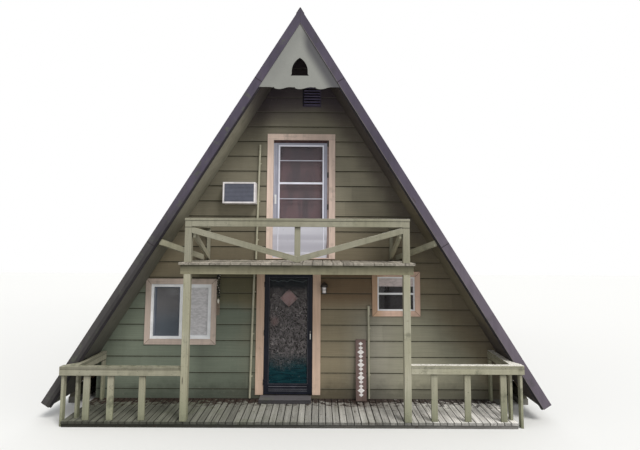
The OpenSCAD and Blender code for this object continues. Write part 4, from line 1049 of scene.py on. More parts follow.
# %% Shingle finish
def shingle_finish():
    f = Finish("shingle_grit", 0.2)
    grit = f.noise(420.0, 2.0, 0.7)
    speck = f.cells(260.0, output="Color")
    stone = f.blend(f.between(grit, 0.35, 0.65), (0.055, 0.048, 0.048), (0.14, 0.125, 0.12))
    stone = f.blend(0.25, stone, speck, "SOFT_LIGHT")
    stone = f.vary(stone, f.attribute("tint"), 0, 1, 0.72, 1.2, smooth=False)
    streak = f.streaks((1.2, 6.0, 1.2), 4.0, 0.6)
    stone = f.vary(stone, streak, 0.4, 0.7, 1.0, 0.72)
    patch = f.between(f.noise(7.0, 5.0, 0.7), 0.66, 0.70, 0, 0.5)
    stone = f.blend(patch, stone, (0.26, 0.27, 0.2))
    return f.done(stone, f.between(grit, 0.3, 0.7, 0.8, 0.98), f.bump(grit, 0.0012, 0.7))


shingle_grit = shingle_finish()
for side, name in ((-1, "left_shingles"), (1, "right_shingles")):
    made, tint = shingles(side)
    add_piece(name, made, shingle_grit, attributes={"tint": tint})
made, tint = ridge_tabs()
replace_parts(add_piece("ridge_shingles", made, shingle_grit, attributes={"tint": tint}),
            "ridge_cap")

# %% [markdown]
# ## Decks
#
# A deck board is a long loft with eased edges: the ring is a rectangle with cut corners, and each board has a
# little of its own width, height, bow and length, as boards that have lain in the rain do.

# %% Deck boards
EASE = 0.004


def deck_boards(low, high, foot, pitch, gap, uneven, sink, ragged, steps=4):
    """Rings of boards along Y that fill the box from low to high. Their undersides lie at the height foot.

    They differ by up to uneven in width, by sink in height and by ragged in where they start.
    """
    count = int(round((high.x - low.x + gap) / pitch))
    pitch = (high.x - low.x + gap) / count
    x = low.x + (np.arange(count) + 0.5) * pitch - gap / 2
    half = (pitch - gap + rng.uniform(-uneven, uneven, count)) / 2
    top = high.z - rng.uniform(0, sink, count)
    under = np.full(count, foot)
    ring_x = np.stack([-half, -half, -half + EASE, half - EASE, half, half], axis=1)
    ring_z = np.stack([under, top - EASE, top, top, top - EASE, under], axis=1)
    t = np.linspace(0, 1, steps)
    start = low.y + rng.uniform(0, ragged, count)
    y = start[:, None] + t * (high.y - start)[:, None]
    bow = rng.uniform(-0.002, 0.002, count)[:, None] * np.sin(math.pi * t)
    return xyz(x[:, None, None] + ring_x[:, None, :] + bow[:, :, None], y[:, :, None], ring_z[:, None, :])


def grain_of(rings, along=1, across=0, through=2):
    """Grain coordinates of lofted boards, each moved to its own part of the noise, and a tint for each.

    side runs from -1 at one edge of a board to 1 at the other.
    """
    grain = rings[..., [along, across, through]] + rng.uniform(-40, 40, (len(rings), 1, 1, 3))
    tint = np.broadcast_to(rng.random(len(rings))[:, None, None], rings.shape[:3])
    reach = rings[..., across] - rings[..., across].mean(axis=2, keepdims=True)
    side = reach / np.abs(reach).max(axis=2, keepdims=True)
    return {"grain": grain.reshape(-1, 3), "tint": tint.ravel(), "side": side.ravel()}


def both(a, b):
    return {key: np.concatenate([a[key], b[key]]) for key in a}


# %% The porch deck and its sleepers
PORCH_PITCH = 0.105
PORCH_GAP = 0.009

deck_low, deck_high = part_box("porch_deck")
board_low = deck_high.z - LUMBER
porch = deck_boards(deck_low, deck_high, board_low, PORCH_PITCH, PORCH_GAP, 0.0015, 0.0025, 0.008)
low, high = solids("porch_deck")
sleeper = (low[:, 2] < 0.001) & (high[:, 2] < board_low + 0.001)
sleeper_low, sleeper_high = low[sleeper], high[sleeper]
centre_y = (sleeper_low[:, 1] + sleeper_high[:, 1]) / 2


def box_rings(low, high):
    """Level boards along X from their corners, as lofts with two rings."""
    ring_y = np.stack([low[:, 1], low[:, 1], high[:, 1], high[:, 1]], axis=1)
    ring_z = np.stack([low[:, 2], high[:, 2], high[:, 2], low[:, 2]], axis=1)
    return xyz(np.stack([low[:, 0], high[:, 0]], axis=1)[:, :, None], ring_y[:, None, :], ring_z[:, None, :])


sleepers = box_rings(sleeper_low, sleeper_high)
attributes = both(grain_of(porch), grain_of(sleepers, 0, 1, 2))
piece = add_piece("porch_boards", join([loft(porch), loft(sleepers)]), deck_grey,
                  attributes=attributes)
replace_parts(piece, "porch_deck")

# %% [markdown]
# The balcony's boards run out from the wall too. They are wider, and their front ends are less even.

# %% The balcony's boards
BALCONY_PITCH = 0.157
BALCONY_GAP = 0.005

bal_low, bal_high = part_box("balcony_deck")
balcony = deck_boards(bal_low, bal_high, bal_low.z, BALCONY_PITCH, BALCONY_GAP, 0.003, 0.003, 0.030)
piece = add_piece("balcony_boards", loft(balcony), balcony_grey, attributes=grain_of(balcony))
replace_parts(piece, "balcony_deck")

# %% [markdown]
# ## Nail heads
#
# A nail head is a low dome: one ring at the board, a smaller ring above it, and a cap. All heads of a deck are
# one array, made by adding each place to the same dome.

# %% Nails
def domes(places, axis, radius=0.004, height=0.0008, sides=8):
    """Low domes at the places, standing out along an axis given as a unit vector."""
    axis = np.asarray(axis, float)
    u = np.cross(axis, (0.3, 0.5, 0.81))
    u /= np.linalg.norm(u)
    v = np.cross(axis, u)
    angle = angles(sides)
    circle = np.cos(angle)[:, None] * u + np.sin(angle)[:, None] * v
    dome = np.stack([circle * radius, circle * radius * 0.6 + axis * height])
    return loft(np.asarray(places)[:, None, None, :] + dome)


def metal(name, colour, roughness, rust=0.0, metallic=0.0, grain=0.05, specular=0.5):
    """Painted or bare metal, a little uneven in gloss, with specks of rust."""
    f = Finish(name, specular, Metallic=metallic)
    cloud = f.noise(6.0, 4.0, 0.6)
    fine = f.noise(90.0, 3.0, 0.6)
    paint = f.vary(colour, cloud, 0.3, 0.7, 1 - grain * 1.5, 1 + grain)
    if rust:
        spot = f.between(f.noise(38.0, 5.0, 0.7), 0.68 - rust * 0.1, 0.72, 0, 0.8)
        paint = f.blend(spot, paint, (0.13, 0.055, 0.028))
    return f.done(paint, f.between(cloud, 0.3, 0.7, roughness - 0.07, roughness + 0.1),
                  f.bump(fine, 0.0003, 0.25))


nail_metal = metal("nail_metal", (0.10, 0.085, 0.075), 0.6, rust=0.8)
spread = np.array([-0.024, 0.024])
porch_x = porch[:, 0, :, 0].mean(1)
px, py, side = np.meshgrid(porch_x, centre_y, spread, indexing="ij")
places = np.stack([px + side, py, np.full(px.shape, deck_high.z - 0.0025)], axis=-1).reshape(-1, 3)
balcony_x = balcony[:, 0, :, 0].mean(1)
bx, by, side = np.meshgrid(balcony_x, [bal_low.y + 0.07, -4.05, bal_high.y - 0.03], spread * 1.8,
                           indexing="ij")
upper = np.stack([bx + side, by, np.full(bx.shape, bal_high.z - 0.003)], axis=-1).reshape(-1, 3)
made = domes(np.concatenate([places, upper]), (0, 0, 1), height=0.0026)
add_piece("deck_nails", made, nail_metal)

# %% [markdown]
# ## Finishes for the CAD nodes that stay
#
# Plain walls, floors, glass and metal parts keep their CAD shape. They need only a finish, and for the sharp
# ones a narrow bevel after their loose triangles are welded.

# %% Finishes for plain surfaces
def mottled(name, low, high, scale, roughness, bump=0.001, specular=0.3):
    """A surface that drifts between two colours, with a fine grain."""
    f = Finish(name, specular)
    broad = f.noise(scale, 5.0, 0.65)
    fine = f.noise(scale * 24, 3.0, 0.6)
    colour = f.blend(f.between(broad, 0.3, 0.7), low, high)
    colour = f.vary(colour, fine, 0.3, 0.7, 0.93, 1.05)
    return f.done(colour, f.between(fine, 0.3, 0.7, roughness - 0.05, roughness + 0.08),
                  f.bump(fine, bump, 0.5))


# %% [markdown]
# A dusty pane is partly the room behind it and partly its own film. The film is an ordinary colour, and the
# shader's alpha says how much of the view it takes, which also survives an export.

# %% Glass
def glass_film(name, low, high, alpha, roughness=0.08):
    """A pane that shows what is behind it through a film of dust: alpha is the film's share of the view."""
    f = Finish(name)
    dust = f.noise(4.0, 5.0, 0.7)
    colour = f.blend(f.between(dust, 0.3, 0.7), low, high)
    f.clear(f.between(dust, 0.3, 0.7, alpha * 0.85, alpha * 1.15))
    return f.done(colour, f.between(dust, 0.35, 0.75, roughness, roughness + 0.08))


def window_glass_finish():
    """Panes: painted light of a blind close behind, a little dusty elsewhere, painted shade on the back panes.
    """
    f = Finish("window_glass")
    x, y, z = f.x, f.y, f.z
    dust = f.noise(4.0, 5.0, 0.7)
    fold = f.streaks((14, 14, 34), 5.0, 0.65)
    front = f.between(y, 0.1, -0.1)
    left_low, left_high = window_low[0], window_high[0]
    # Painted light and shade of the blinds close behind the front panes, with their folds.
    left_blind = f.inside(x, (left_low[0] + left_high[0]) / 2 + 0.022, left_high[0], 0.002)
    right_blind = f.times(f.between(x, 1.0, 1.1), f.between(z, right_blind_z - 0.002, right_blind_z + 0.002))
    lit_blind = f.times(front, f.larger(left_blind, right_blind))
    pale = f.blend(f.between(x, 0, 1), (0.74, 0.72, 0.74), (0.76, 0.66, 0.65))
    pale = f.vary(pale, fold, 0.35, 0.65, 0.82, 1.12)
    film = f.blend(f.between(dust, 0.3, 0.7), (0.035, 0.032, 0.036), (0.065, 0.058, 0.062))
    speck = f.between(f.noise(34.0, 4.0, 0.7), 0.62, 0.68)
    film = f.blend(f.times(speck, 0.6), film, (0.30, 0.28, 0.28))
    colour = f.blend(lit_blind, film, pale)
    # The back panes are mostly a dark film, as painted shade.
    share = f.blend(lit_blind, f.blend(front, (0.8, 0.8, 0.8), (0.42, 0.42, 0.42)), (0.72, 0.72, 0.72))
    f.clear(f.part(share, "X"))
    return f.done(colour, f.between(dust, 0.35, 0.75, 0.08, 0.16))


def lattice_finish():
    """The lower door's small pane: pinkish glass crossed by fine slanting lead lines."""
    f = Finish("diamond_glass", 0.4)
    x, z = f.x, f.z
    lines = [f.math("PINGPONG", f.times(f.math(kind, x, z), 22.0), 0.5) for kind in ("ADD", "SUBTRACT")]
    line = f.between(f.smaller(*lines), 0.11, 0.04, 0, 0.6)
    cloud = f.noise(16.0, 5.0, 0.7)
    colour = f.blend(f.between(cloud, 0.35, 0.65), (0.78, 0.44, 0.43), (0.95, 0.66, 0.65))
    return f.done(f.blend(line, colour, (0.22, 0.13, 0.13)), f.between(cloud, 0.3, 0.7, 0.3, 0.45))


# %% [markdown]
# Hinges, vents and the two upper doors carry paint that changes from place to place, so each has a finish of
# its own, and all but the old leaf behind the upper door read their node's box.

# %% Hinges, vents and upper doors
def hinge_finish():
    """Hinge leaves: painted over with the trim on the jamb, dark on the door's side."""
    f = Finish("hinge_leaf_paint", 0.3)
    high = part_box("hinge_plates")[1]
    cloud = f.noise(30.0, 3.0, 0.6)
    colour = f.blend(f.between(f.x, high.x - 0.016, high.x - 0.012), (0.60, 0.43, 0.32), (0.05, 0.045, 0.045))
    return f.done(f.vary(colour, cloud, 0.3, 0.7, 0.9, 1.05), f.between(cloud, 0.3, 0.7, 0.45, 0.6))


def vent_finish():
    """A rim as dark as the painted shade on the wall round it, and a recess painted nearly black as painted
    shade.
    """
    f = Finish("vent_paint", 0.2)
    low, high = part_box("gable_vents")
    x = f.absolute(f.minus(f.x, (low.x + high.x) / 2))
    z = f.absolute(f.minus(f.z, (low.z + high.z) / 2))
    edge = f.larger(f.minus(x, (high.x - low.x) / 2), f.minus(z, (high.z - low.z) / 2))
    # A recess painted nearly black: painted shade.
    colour = f.blend(f.between(edge, -0.021, -0.019), (0.012, 0.010, 0.017), (0.080, 0.066, 0.096))
    return f.done(colour, f.between(f.noise(20.0, 3.0, 0.6), 0.3, 0.7, 0.6, 0.75))


def upper_door_finish():
    """Silver stiles, a lilac-white kick panel in level bands of painted reflection, a rust-brown stain at
    right.
    """
    f = Finish("upper_door_enamel", 0.35)
    x, z = f.x, f.z
    cloud = f.noise(5.0, 4.0, 0.6)
    low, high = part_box("upper_door")
    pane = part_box("upper_door_glass")[0]
    kick = f.between(z, pane.z - 0.045, pane.z - 0.055)
    # Painted reflections in level bands on the kick panel.
    bands = f.streaks((0.2, 0.2, 9.0), 2.0, 0.4, shift=(0, 0, 3.1))
    panel = f.blend(f.between(bands, 0.35, 0.65), (0.48, 0.475, 0.545), (0.62, 0.62, 0.69))
    stile = f.blend(f.between(cloud, 0.35, 0.65), (0.285, 0.288, 0.355), (0.325, 0.330, 0.405))
    paint = f.blend(kick, stile, panel)
    edge = f.plus(x, f.times(f.noise(14.0, 5.0, 0.7), 0.09))
    stain = f.times(f.between(edge, high.x - 0.015, high.x + 0.02), f.between(z, low.z + 0.42, low.z + 0.1))
    paint = f.blend(stain, paint, (0.11, 0.06, 0.045))
    grime = f.between(f.noise(30.0, 5.0, 0.7), 0.62, 0.72, 0, 0.4)
    paint = f.blend(grime, paint, (0.24, 0.22, 0.22))
    return f.done(paint, f.between(cloud, 0.3, 0.7, 0.35, 0.5))


def mauve_finish():
    """The old leaf behind the upper door: dark at its head, redder lower down, in soft upright streaks."""
    f = Finish("mauve_door_paint", 0.3)
    streak = f.streaks((5, 5, 1.2), 4.0, 0.6)
    fine = f.noise(40.0, 3.0, 0.6)
    paint = f.blend(f.between(streak, 0.4, 0.6), (0.115, 0.088, 0.10), (0.205, 0.125, 0.135))
    head = f.between(f.plus(f.z, f.times(streak, 0.3)), 4.1, 4.45, 0, 0.65)
    paint = f.blend(head, paint, (0.06, 0.048, 0.062))
    paint = f.vary(paint, fine, 0.3, 0.7, 0.9, 1.06)
    return f.done(paint, f.between(fine, 0.3, 0.7, 0.45, 0.6), f.bump(fine, 0.0005, 0.4))


# %% [markdown]
# The other finishes are plain: two tones, a roughness and a fine grain. The list below says which nodes get
# which finish, and how wide a bevel their edges get.

# %% The plain nodes and their finishes
concrete = mottled("cast_concrete", (0.105, 0.10, 0.088), (0.17, 0.163, 0.145), 2.0, 0.9, 0.003)
floor_wood = mottled("floor_wood", (0.22, 0.14, 0.08), (0.30, 0.20, 0.12), 3.0, 0.5)
wall_core = mottled("wall_core", (0.16, 0.155, 0.105), (0.20, 0.195, 0.135), 2.0, 0.7)
roof_felt = mottled("roof_felt", (0.035, 0.033, 0.033), (0.06, 0.055, 0.055), 5.0, 0.9)
vinyl = metal("white_vinyl", (0.86, 0.87, 0.89), 0.42, grain=0.06)
white_enamel = metal("white_enamel", (0.80, 0.80, 0.90), 0.4, rust=0.15, grain=0.06)
black_enamel = metal("black_enamel", (0.009, 0.010, 0.018), 0.42, grain=0.2, specular=0.22)
nickel = metal("satin_nickel", (0.75, 0.75, 0.75), 0.38, metallic=0.6)
bronze = metal("dark_bronze", (0.035, 0.027, 0.022), 0.45, rust=0.3)
vent_lip = metal("vent_lip", (0.12, 0.10, 0.17), 0.6, grain=0.1)
case_enamel = metal("case_enamel", (0.74, 0.71, 0.72), 0.5, rust=0.25, grain=0.12)
sage_metal = metal("sage_conduit_paint", (0.43, 0.415, 0.31), 0.55, rust=0.2, grain=0.15)
entry_brown = mottled("entry_door_paint", (0.055, 0.048, 0.050), (0.115, 0.105, 0.105), 9.0, 0.5)
diamond = lattice_finish()
clear = window_glass_finish()
upper_clear = glass_film("upper_door_glass", (0.10, 0.09, 0.10), (0.16, 0.14, 0.155), 0.14)

PLAIN = (
    (concrete, 0.004, "foundations"), (floor_wood, 0, "ground_floor", "upper_floor"),
    (wall_core, 0, "knee_walls", "front_wall_left", "front_wall_right", "front_wall_over_door",
     "front_wall_upper", "back_wall_lower", "back_wall_upper"),
    (roof_felt, 0, "left_roof", "right_roof"), (vent_finish(), 0.001, "gable_vents"),
    (black_enamel, 0.002, "storm_door"), (entry_brown, 0.002, "entry_door"),
    (diamond, 0.001, "entry_door_glass"), (hinge_finish(), 0.001, "hinge_plates"),
    (vinyl, 0.002, "window_frames"), (clear, 0, "window_glass"), (upper_door_finish(), 0.003, "upper_door"),
    (upper_clear, 0, "upper_door_glass"), (mauve_finish(), 0.002, "inner_upper_door"),
    (case_enamel, 0.004, "air_conditioner"), (sage_metal, 0.001, "conduits"),
)


def finish_node(node, material, edge=0):
    """Gives a CAD node its finish. A sharp one is welded and gets a narrow bevel of that width."""
    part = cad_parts[node]
    part.data.materials.clear()
    part.data.materials.append(material)
    if edge:
        part.modifiers.new("weld", "WELD").merge_threshold = MERGE
        soften(part, edge)


for material, edge, *nodes in PLAIN:
    for node in nodes:
        finish_node(node, material, edge)
    print(material.name, "on", *nodes)
barge_batten = mottled("barge_batten", (0.022, 0.018, 0.020), (0.045, 0.036, 0.04), 20.0, 0.85, 0.0006, 0.15)
add_piece("barge_joints", barge_joints(), barge_batten)

# %% [markdown]
# ## The storm door's glass
#
# The pane is old. Its film of dust carries painted reflections, grey mottling with small pale specks and a teal
# cast at the bottom, and the top is nearly black. It is part clear and part film, so the door behind shows
# through weakly. The film is thinner in front of that door's small pane.

# %% Storm glass
def storm_glass_finish():
    f = Finish("storm_glass", 0.10)
    x, z = f.x, f.z
    grains = f.part(f.cells(66.0, output="Color"), "X")
    # Painted reflections: grey mottling with small pale specks.
    speckle = f.plus(f.times(grains, 0.6), f.times(f.noise(90.0, 2.0), 0.4))
    cloud = f.noise(5.0, 5.0, 0.7)
    film = f.blend(f.between(speckle, 0.26, 0.78, smooth=False), (0.012, 0.011, 0.013), (0.30, 0.272, 0.272))
    film = f.vary(film, cloud, 0.3, 0.7, 0.85, 1.15)
    blotch = f.math("SQRT",
                    f.plus(f.math("POWER", f.minus(x, -0.42), 2.0), f.math("POWER", f.minus(z, 1.36), 2.0)))
    film = f.blend(f.between(blotch, 0.10, 0.02, 0, 0.6), film, (0.30, 0.19, 0.18))
    # Painted reflection: a teal cast at the bottom.
    low = f.between(f.plus(z, f.times(cloud, 0.35)), 1.12, 0.70)
    streaks = f.streaks((4, 4, 34), 4.0, 0.6)
    film = f.blend(low, film,
                   f.blend(f.between(streaks, 0.35, 0.65), (0.0015, 0.018, 0.026), (0.007, 0.043, 0.052)))
    high = f.between(f.plus(z, f.times(cloud, 0.2)), 1.90, 2.08, 0, 0.95)
    film = f.blend(high, film, (0.010, 0.014, 0.018))
    ripple = f.plus(z, f.times(f.streaks((9, 9, 1), 2.0, 0.5), 0.12))
    film = f.blend(f.times(f.inside(ripple, 2.096, 2.104, 0.004), 0.6), film, (0.16, 0.19, 0.20))
    # More pale specks of painted reflection.
    pale = f.between(f.noise(52.0, 3.0, 0.7), 0.66, 0.70, 0, 0.8)
    film = f.blend(f.times(pale, f.minus(1.0, f.times(high, 0.8))), film, (0.42, 0.38, 0.36))
    pane_low, pane_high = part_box("entry_door_glass")
    away = f.larger(*(f.absolute(f.minus(value, (pane_low[i] + pane_high[i]) / 2))
                      for value, i in ((x, 0), (z, 2))))
    wiped = f.between(away, 0.16, 0.08, 1.0, 0.50)
    share = f.larger(f.between(cloud, 0.3, 0.7, 0.40, 0.55), f.times(f.larger(low, high), 0.93))
    share = f.times(share, wiped)
    f.clear(share)
    return f.done(film, f.between(cloud, 0.3, 0.7, 0.25, 0.45))


finish_node("storm_door_glass", storm_glass_finish())
print("finished the storm door's glass")

# %% [markdown]
# ## Vent lips
#
# The louvres' front edges are folded down into lips, which catch the light while the gaps between them stay
# dark.

# %% Vent lips
VENT_SLATS = 7
VENT_RIM = 0.020


def vent_lips():
    """One lip per louvre: a slanted ring in y and z, carried from one side of the vent to the other."""
    low, high = solids("gable_vents")
    parts = []
    for a, b in zip(low, high):
        out = -1 if a[1] < 0 else 1
        y = (a[1] if out < 0 else b[1]) - out * 0.0145
        pitch = (b[2] - a[2] - 2 * VENT_RIM) / VENT_SLATS
        z = a[2] + VENT_RIM + (np.arange(VENT_SLATS) + 0.5) * pitch - 0.0145
        ring_y = y + out * np.array([0.0, 0.0035, 0.0025, -0.0015])
        ring_z = z[:, None] + np.array([-0.004, -0.004, 0.023, 0.023])
        ends = np.array([a[0] + VENT_RIM, b[0] - VENT_RIM])[None, :, None]
        parts.append(loft(xyz(ends, ring_y, ring_z[:, None, :])))
    return join(parts)


add_piece("vent_lips", vent_lips(), vent_lip)

# %% [markdown]
# ## Mitred frames
#
# Glazing beads, sashes and screens are one profile carried round a rectangle. At the corner with signs (sx,
# sz), a profile point u metres in from the outline lies at x = middle + sx * (half - u), and the same in z.

# %% Mitred frames
def mitred(x, z, profile):
    """A closed frame round the rectangle x by z. The profile's points are (in from the outline, y)."""
    profile = np.asarray(profile, float)
    signs = np.array([(-1, -1), (1, -1), (1, 1), (-1, 1)], float)
    half = np.array([(x[1] - x[0]) / 2, (z[1] - z[0]) / 2])
    middle = np.array([(x[0] + x[1]) / 2, (z[0] + z[1]) / 2])
    reach = half[None, None, :] - profile[None, :, :1]
    flat = middle + signs[:, None, :] * reach
    y = np.broadcast_to(profile[None, :, 1], flat.shape[:2])
    rings = np.stack([flat[..., 0], y, flat[..., 1]], axis=-1)
    return loft(rings, closed=True)


def bead(depth_near, depth_far, width, round_off=0.003):
    """A profile between two depths in y, with its outer corners cut."""
    sign = 1 if depth_far > depth_near else -1
    r = round_off
    return [(0, depth_far), (0, depth_near + sign * r), (r, depth_near), (width - r, depth_near),
            (width, depth_near + sign * r), (width, depth_far)]


def slab(x, y, z):
    """A plain closed bar between two corners, as a loft along X."""
    ring = [(y[0], z[0]), (y[0], z[1]), (y[1], z[1]), (y[1], z[0])]
    rings = np.array([[(end, *point) for point in ring] for end in x])
    return loft(rings)


# %% [markdown]
# The storm door's glass is held by a flat bead. A bright inner line along it and thin bright lines across the
# leaf low down are painted highlights. The beads are mitred frames, and the lines are bars. All of them ride on
# the door.

# %% The storm door's beads and grooves
storm_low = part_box("storm_door")[0]
glass_low, glass_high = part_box("storm_door_glass")
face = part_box("entry_trim")[0].y - 0.003
parts = []
outer_x, outer_z = (glass_low.x - 0.012, glass_high.x + 0.012), (glass_low.z - 0.012, glass_high.z + 0.012)
parts.append(mitred(outer_x, outer_z, bead(face - 0.006, face + 0.009, 0.024)))
leaf_x = (glass_low.x - 0.076, glass_high.x + 0.076)
parts.append(slab((leaf_x[0] + 0.02, leaf_x[1] - 0.02), (face - 0.004, face + 0.002),
                  (storm_low.z + 0.004, storm_low.z + 0.022)))
piece = add_piece("storm_door_beads", join(parts), black_enamel, "storm_door")
soften(piece, 0.001)
# Painted highlights: a bright line round the glass and three lines across the leaf.
bright = [mitred((glass_low.x - 0.001, glass_high.x + 0.001), (glass_low.z - 0.001, glass_high.z + 0.001),
                 bead(face - 0.0068, face + 0.002, 0.003, 0.001))]
bright += [slab((leaf_x[0] + 0.085, leaf_x[1] - 0.085), (face - 0.003, face + 0.002),
                (storm_low.z + level, storm_low.z + level + 0.006)) for level in (0.055, 0.085, 0.128)]
grey_line = metal("grey_line", (0.16, 0.16, 0.18), 0.45, grain=0.2)
add_piece("storm_door_lines", join(bright), grey_line, "storm_door")

# %% [markdown]
# ## Window sashes, screens and blinds
#
# The left window slides: an insect screen in a grey frame covers its left half, and the right half has a sash
# with a pale blind close behind it. The right window is a single-hung sash with its blind pulled part way up.

# %% Sashes and screens
FRAME_W = 0.048
SLIM_W = 0.020
frame_low, frame_high = solids("window_frames")
order = np.lexsort((frame_low[:, 0], frame_low[:, 1]))
frame_low, frame_high = frame_low[order], frame_high[order]


def sash(x, z, y, out, width=0.022, depth=0.016):
    """A sash frame whose outer face lies at y, facing out."""
    return mitred(x, z, bead(y, y - out * depth, width, min(0.002, width / 4)))


parts, flanges, screens, lines, screen_mesh = [], [], [], [], []
for number, (low, high) in enumerate(zip(frame_low, frame_high)):
    out = -1 if low[1] < 0 else 1
    member = SLIM_W if number == 1 else FRAME_W
    y = (low[1] + 0.012) if out < 0 else (high[1] - 0.012)
    x, z = (low[0] + member, high[0] - member), (low[2] + member, high[2] - member)
    middle_x, middle_z = (low[0] + high[0]) / 2, (low[2] + high[2]) / 2
    if number == 1:
        for half in ((z[0], middle_z - member / 2), (middle_z + member / 2, z[1])):
            parts.append(sash(x, half, y, out, 0.006))
        continue
    outside = (low[0] + 0.002, high[0] - 0.002), (low[2] + 0.002, high[2] - 0.002)
    front = low[1] if out < 0 else high[1]
    flanges.append(mitred(*outside, bead(front + out * 0.004, front - out * 0.002, 0.015, 0.001)))
    parts.append(sash((middle_x + 0.024, x[1]), z, y, out, 0.014))
    screen_x = (x[0], middle_x - 0.024)
    screens.append(sash(screen_x, z, y - out * 0.002, out, 0.016, 0.010))
    screens.append(slab((x[0], x[0] + 0.048), (y - out * 0.003, y - out * 0.010), z))
    lines.append(slab((x[0] + 0.014, x[0] + 0.019), (y - out * 0.0005, y - out * 0.004),
                      (z[0] + 0.016, z[1] - 0.016)))
    inner = ((screen_x[0] + 0.047, screen_x[1] - 0.015), (z[0] + 0.015, z[1] - 0.015))
    screen_mesh.append((inner, y - out * 0.008))
add_piece("window_sashes", join(parts), vinyl)
add_piece("window_flanges", join(flanges), vinyl)
screen_grey = metal("screen_grey", (0.075, 0.09, 0.12), 0.5)
add_piece("screen_frames", join(screens), screen_grey)
add_piece("screen_lines", join(lines), metal("screen_line", (0.36, 0.39, 0.45), 0.5))

# %% [markdown]
# An insect screen is too fine to see thread by thread. It is a thin sheet that lets part of the light through,
# so its finish is half clear, with the threads as a fine pattern in its clearness.

# %% Screen sheets
def screen_finish():
    f = Finish("screen_threads", 0.1)
    x, z = f.x, f.z
    lines = [f.math("PINGPONG", f.times(value, 400.0), 1.0) for value in (x, z)]
    threads = f.larger(f.between(lines[0], 0.55, 0.75), f.between(lines[1], 0.55, 0.75))
    cloud = f.noise(7.0, 4.0, 0.6)
    low = f.between(z, 1.65, 1.25)
    colour = f.blend(f.between(cloud, 0.3, 0.7), (0.185, 0.18, 0.19), (0.235, 0.235, 0.25))
    colour = f.blend(f.times(low, 0.6), colour, (0.11, 0.15, 0.195))
    f.clear(f.between(threads, 0, 1, 0.40, 0.80))
    return f.done(colour, f.between(cloud, 0.3, 0.7, 0.7, 0.85))


parts = [slab(x, (y - 0.0003, y + 0.0003), z) for (x, z), y in screen_mesh]
add_piece("insect_screens", join(parts), screen_finish())

# %% [markdown]
# A blind is a stack of curved slats. No slat hangs quite level, so each gets a random tilt and a slow wave
# along its length: z(t) = level + lift * sin(3.3 t + phase), and the tilt wanders in the same way.

# %% Blind slats
def blind_slats(x, z, y, pitch, width, tilt, wave):
    """Curved slats hung at even steps. Their tilt and height wander a little, more where wave is large."""
    count = int((z[1] - z[0]) / pitch)
    level = z[1] - (np.arange(count) + 0.5) * pitch
    steps = 9
    t = np.linspace(0, 1, steps)
    phase = rng.uniform(0, 6, count)
    angle = tilt + rng.normal(0, 0.10, count)[:, None] * wave + 0.22 * wave * np.sin(5 * t + phase[:, None])
    lift = 0.0025 * wave * np.sin(3.3 * t + phase[:, None] * 2)
    across = np.array([-0.5, 0.0, 0.5, 0.5, 0.0, -0.5]) * width
    crown = np.array([0, 0.0018, 0, -0.0006, 0.0012, -0.0006])
    cos, sin = np.cos(angle)[..., None], np.sin(angle)[..., None]
    slat_z = (level[:, None] + lift)[..., None] + across * sin + crown * cos
    return loft(xyz((x[0] + t * (x[1] - x[0]))[:, None], y + across * cos - crown * sin, slat_z))


def rail_bar(x, y, z, height):
    """A blind's head or foot rail, whose top lies at z."""
    return slab(x, (y - 0.010, y + 0.010), (z - height, z))


def crumpled(name, low, high):
    """Dented blind plastic whose dents catch the light, with painted light and shade, so no two slats read
    alike.
    """
    f = Finish(name, 0.3)
    dent = f.streaks((28, 28, 44), 5.0, 0.7)
    broad = f.noise(3.5, 4.0, 0.6)
    # Painted light and shade of the dents.
    colour = f.blend(f.between(dent, 0.38, 0.62), low, high)
    colour = f.vary(colour, broad, 0.35, 0.65, 0.88, 1.05)
    return f.done(colour, f.between(dent, 0.3, 0.7, 0.5, 0.65), f.bump(dent, 0.004, 0.8))


blind_finish = crumpled("blind_plastic", (0.70, 0.68, 0.69), (0.95, 0.93, 0.94))
pink_blind = crumpled("pink_blind_plastic", (0.74, 0.64, 0.62), (0.92, 0.83, 0.81))
parts, pink = [], []
for low, high in zip(blind_low, blind_high):
    front = low[1] < 0
    is_left, is_right = front and low[0] < 0, front and low[0] > 0
    y = high[1] + 0.010 if front else low[1] - 0.010
    x = (low[0] + 0.006, high[0] - 0.006)
    end = low[2] + 0.02 + (BLIND_SHORT if is_right else 0)
    made = blind_slats(x, (end, high[2] - 0.03), y, 0.015, 0.019, 1.15, 0.8 if is_left else 0.4)
    bars = [rail_bar(x, y, high[2] - 0.004, 0.026), rail_bar(x, y, end, 0.016)]
    (pink if is_right else parts).extend([made, *bars])
piece = add_piece("window_blind_slats", join(parts), blind_finish)
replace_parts(piece, "window_blinds")
add_piece("small_blind_slats", join(pink), pink_blind)

# %% [markdown]
# ## The upper door
#
# One broad bar and two thin ones cross its glass, thin lines run down the stiles, and the kick panel below is
# one pressed sheet with a raised border. A dark strip at the head is painted shade, and bare wood shows at the
# right jamb.

# %% Upper door details
BROAD_BAR = (3.573, 0.034)
THIN_BARS = ((3.972, 0.015), (3.300, 0.015))
up_low, up_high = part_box("upper_door")
pane_low, pane_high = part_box("upper_door_glass")
face = up_low.y
bead_x, bead_z = (pane_low.x - 0.014, pane_high.x + 0.014), (pane_low.z - 0.014, pane_high.z + 0.014)


def cross_bar(level, height):
    """A level bar over the glass, from its middle above the wall's foot and its height."""
    return slab((pane_low.x - 0.002, pane_high.x + 0.002), (face - 0.003, face + 0.014),
                (floor_z + level - height / 2, floor_z + level + height / 2))


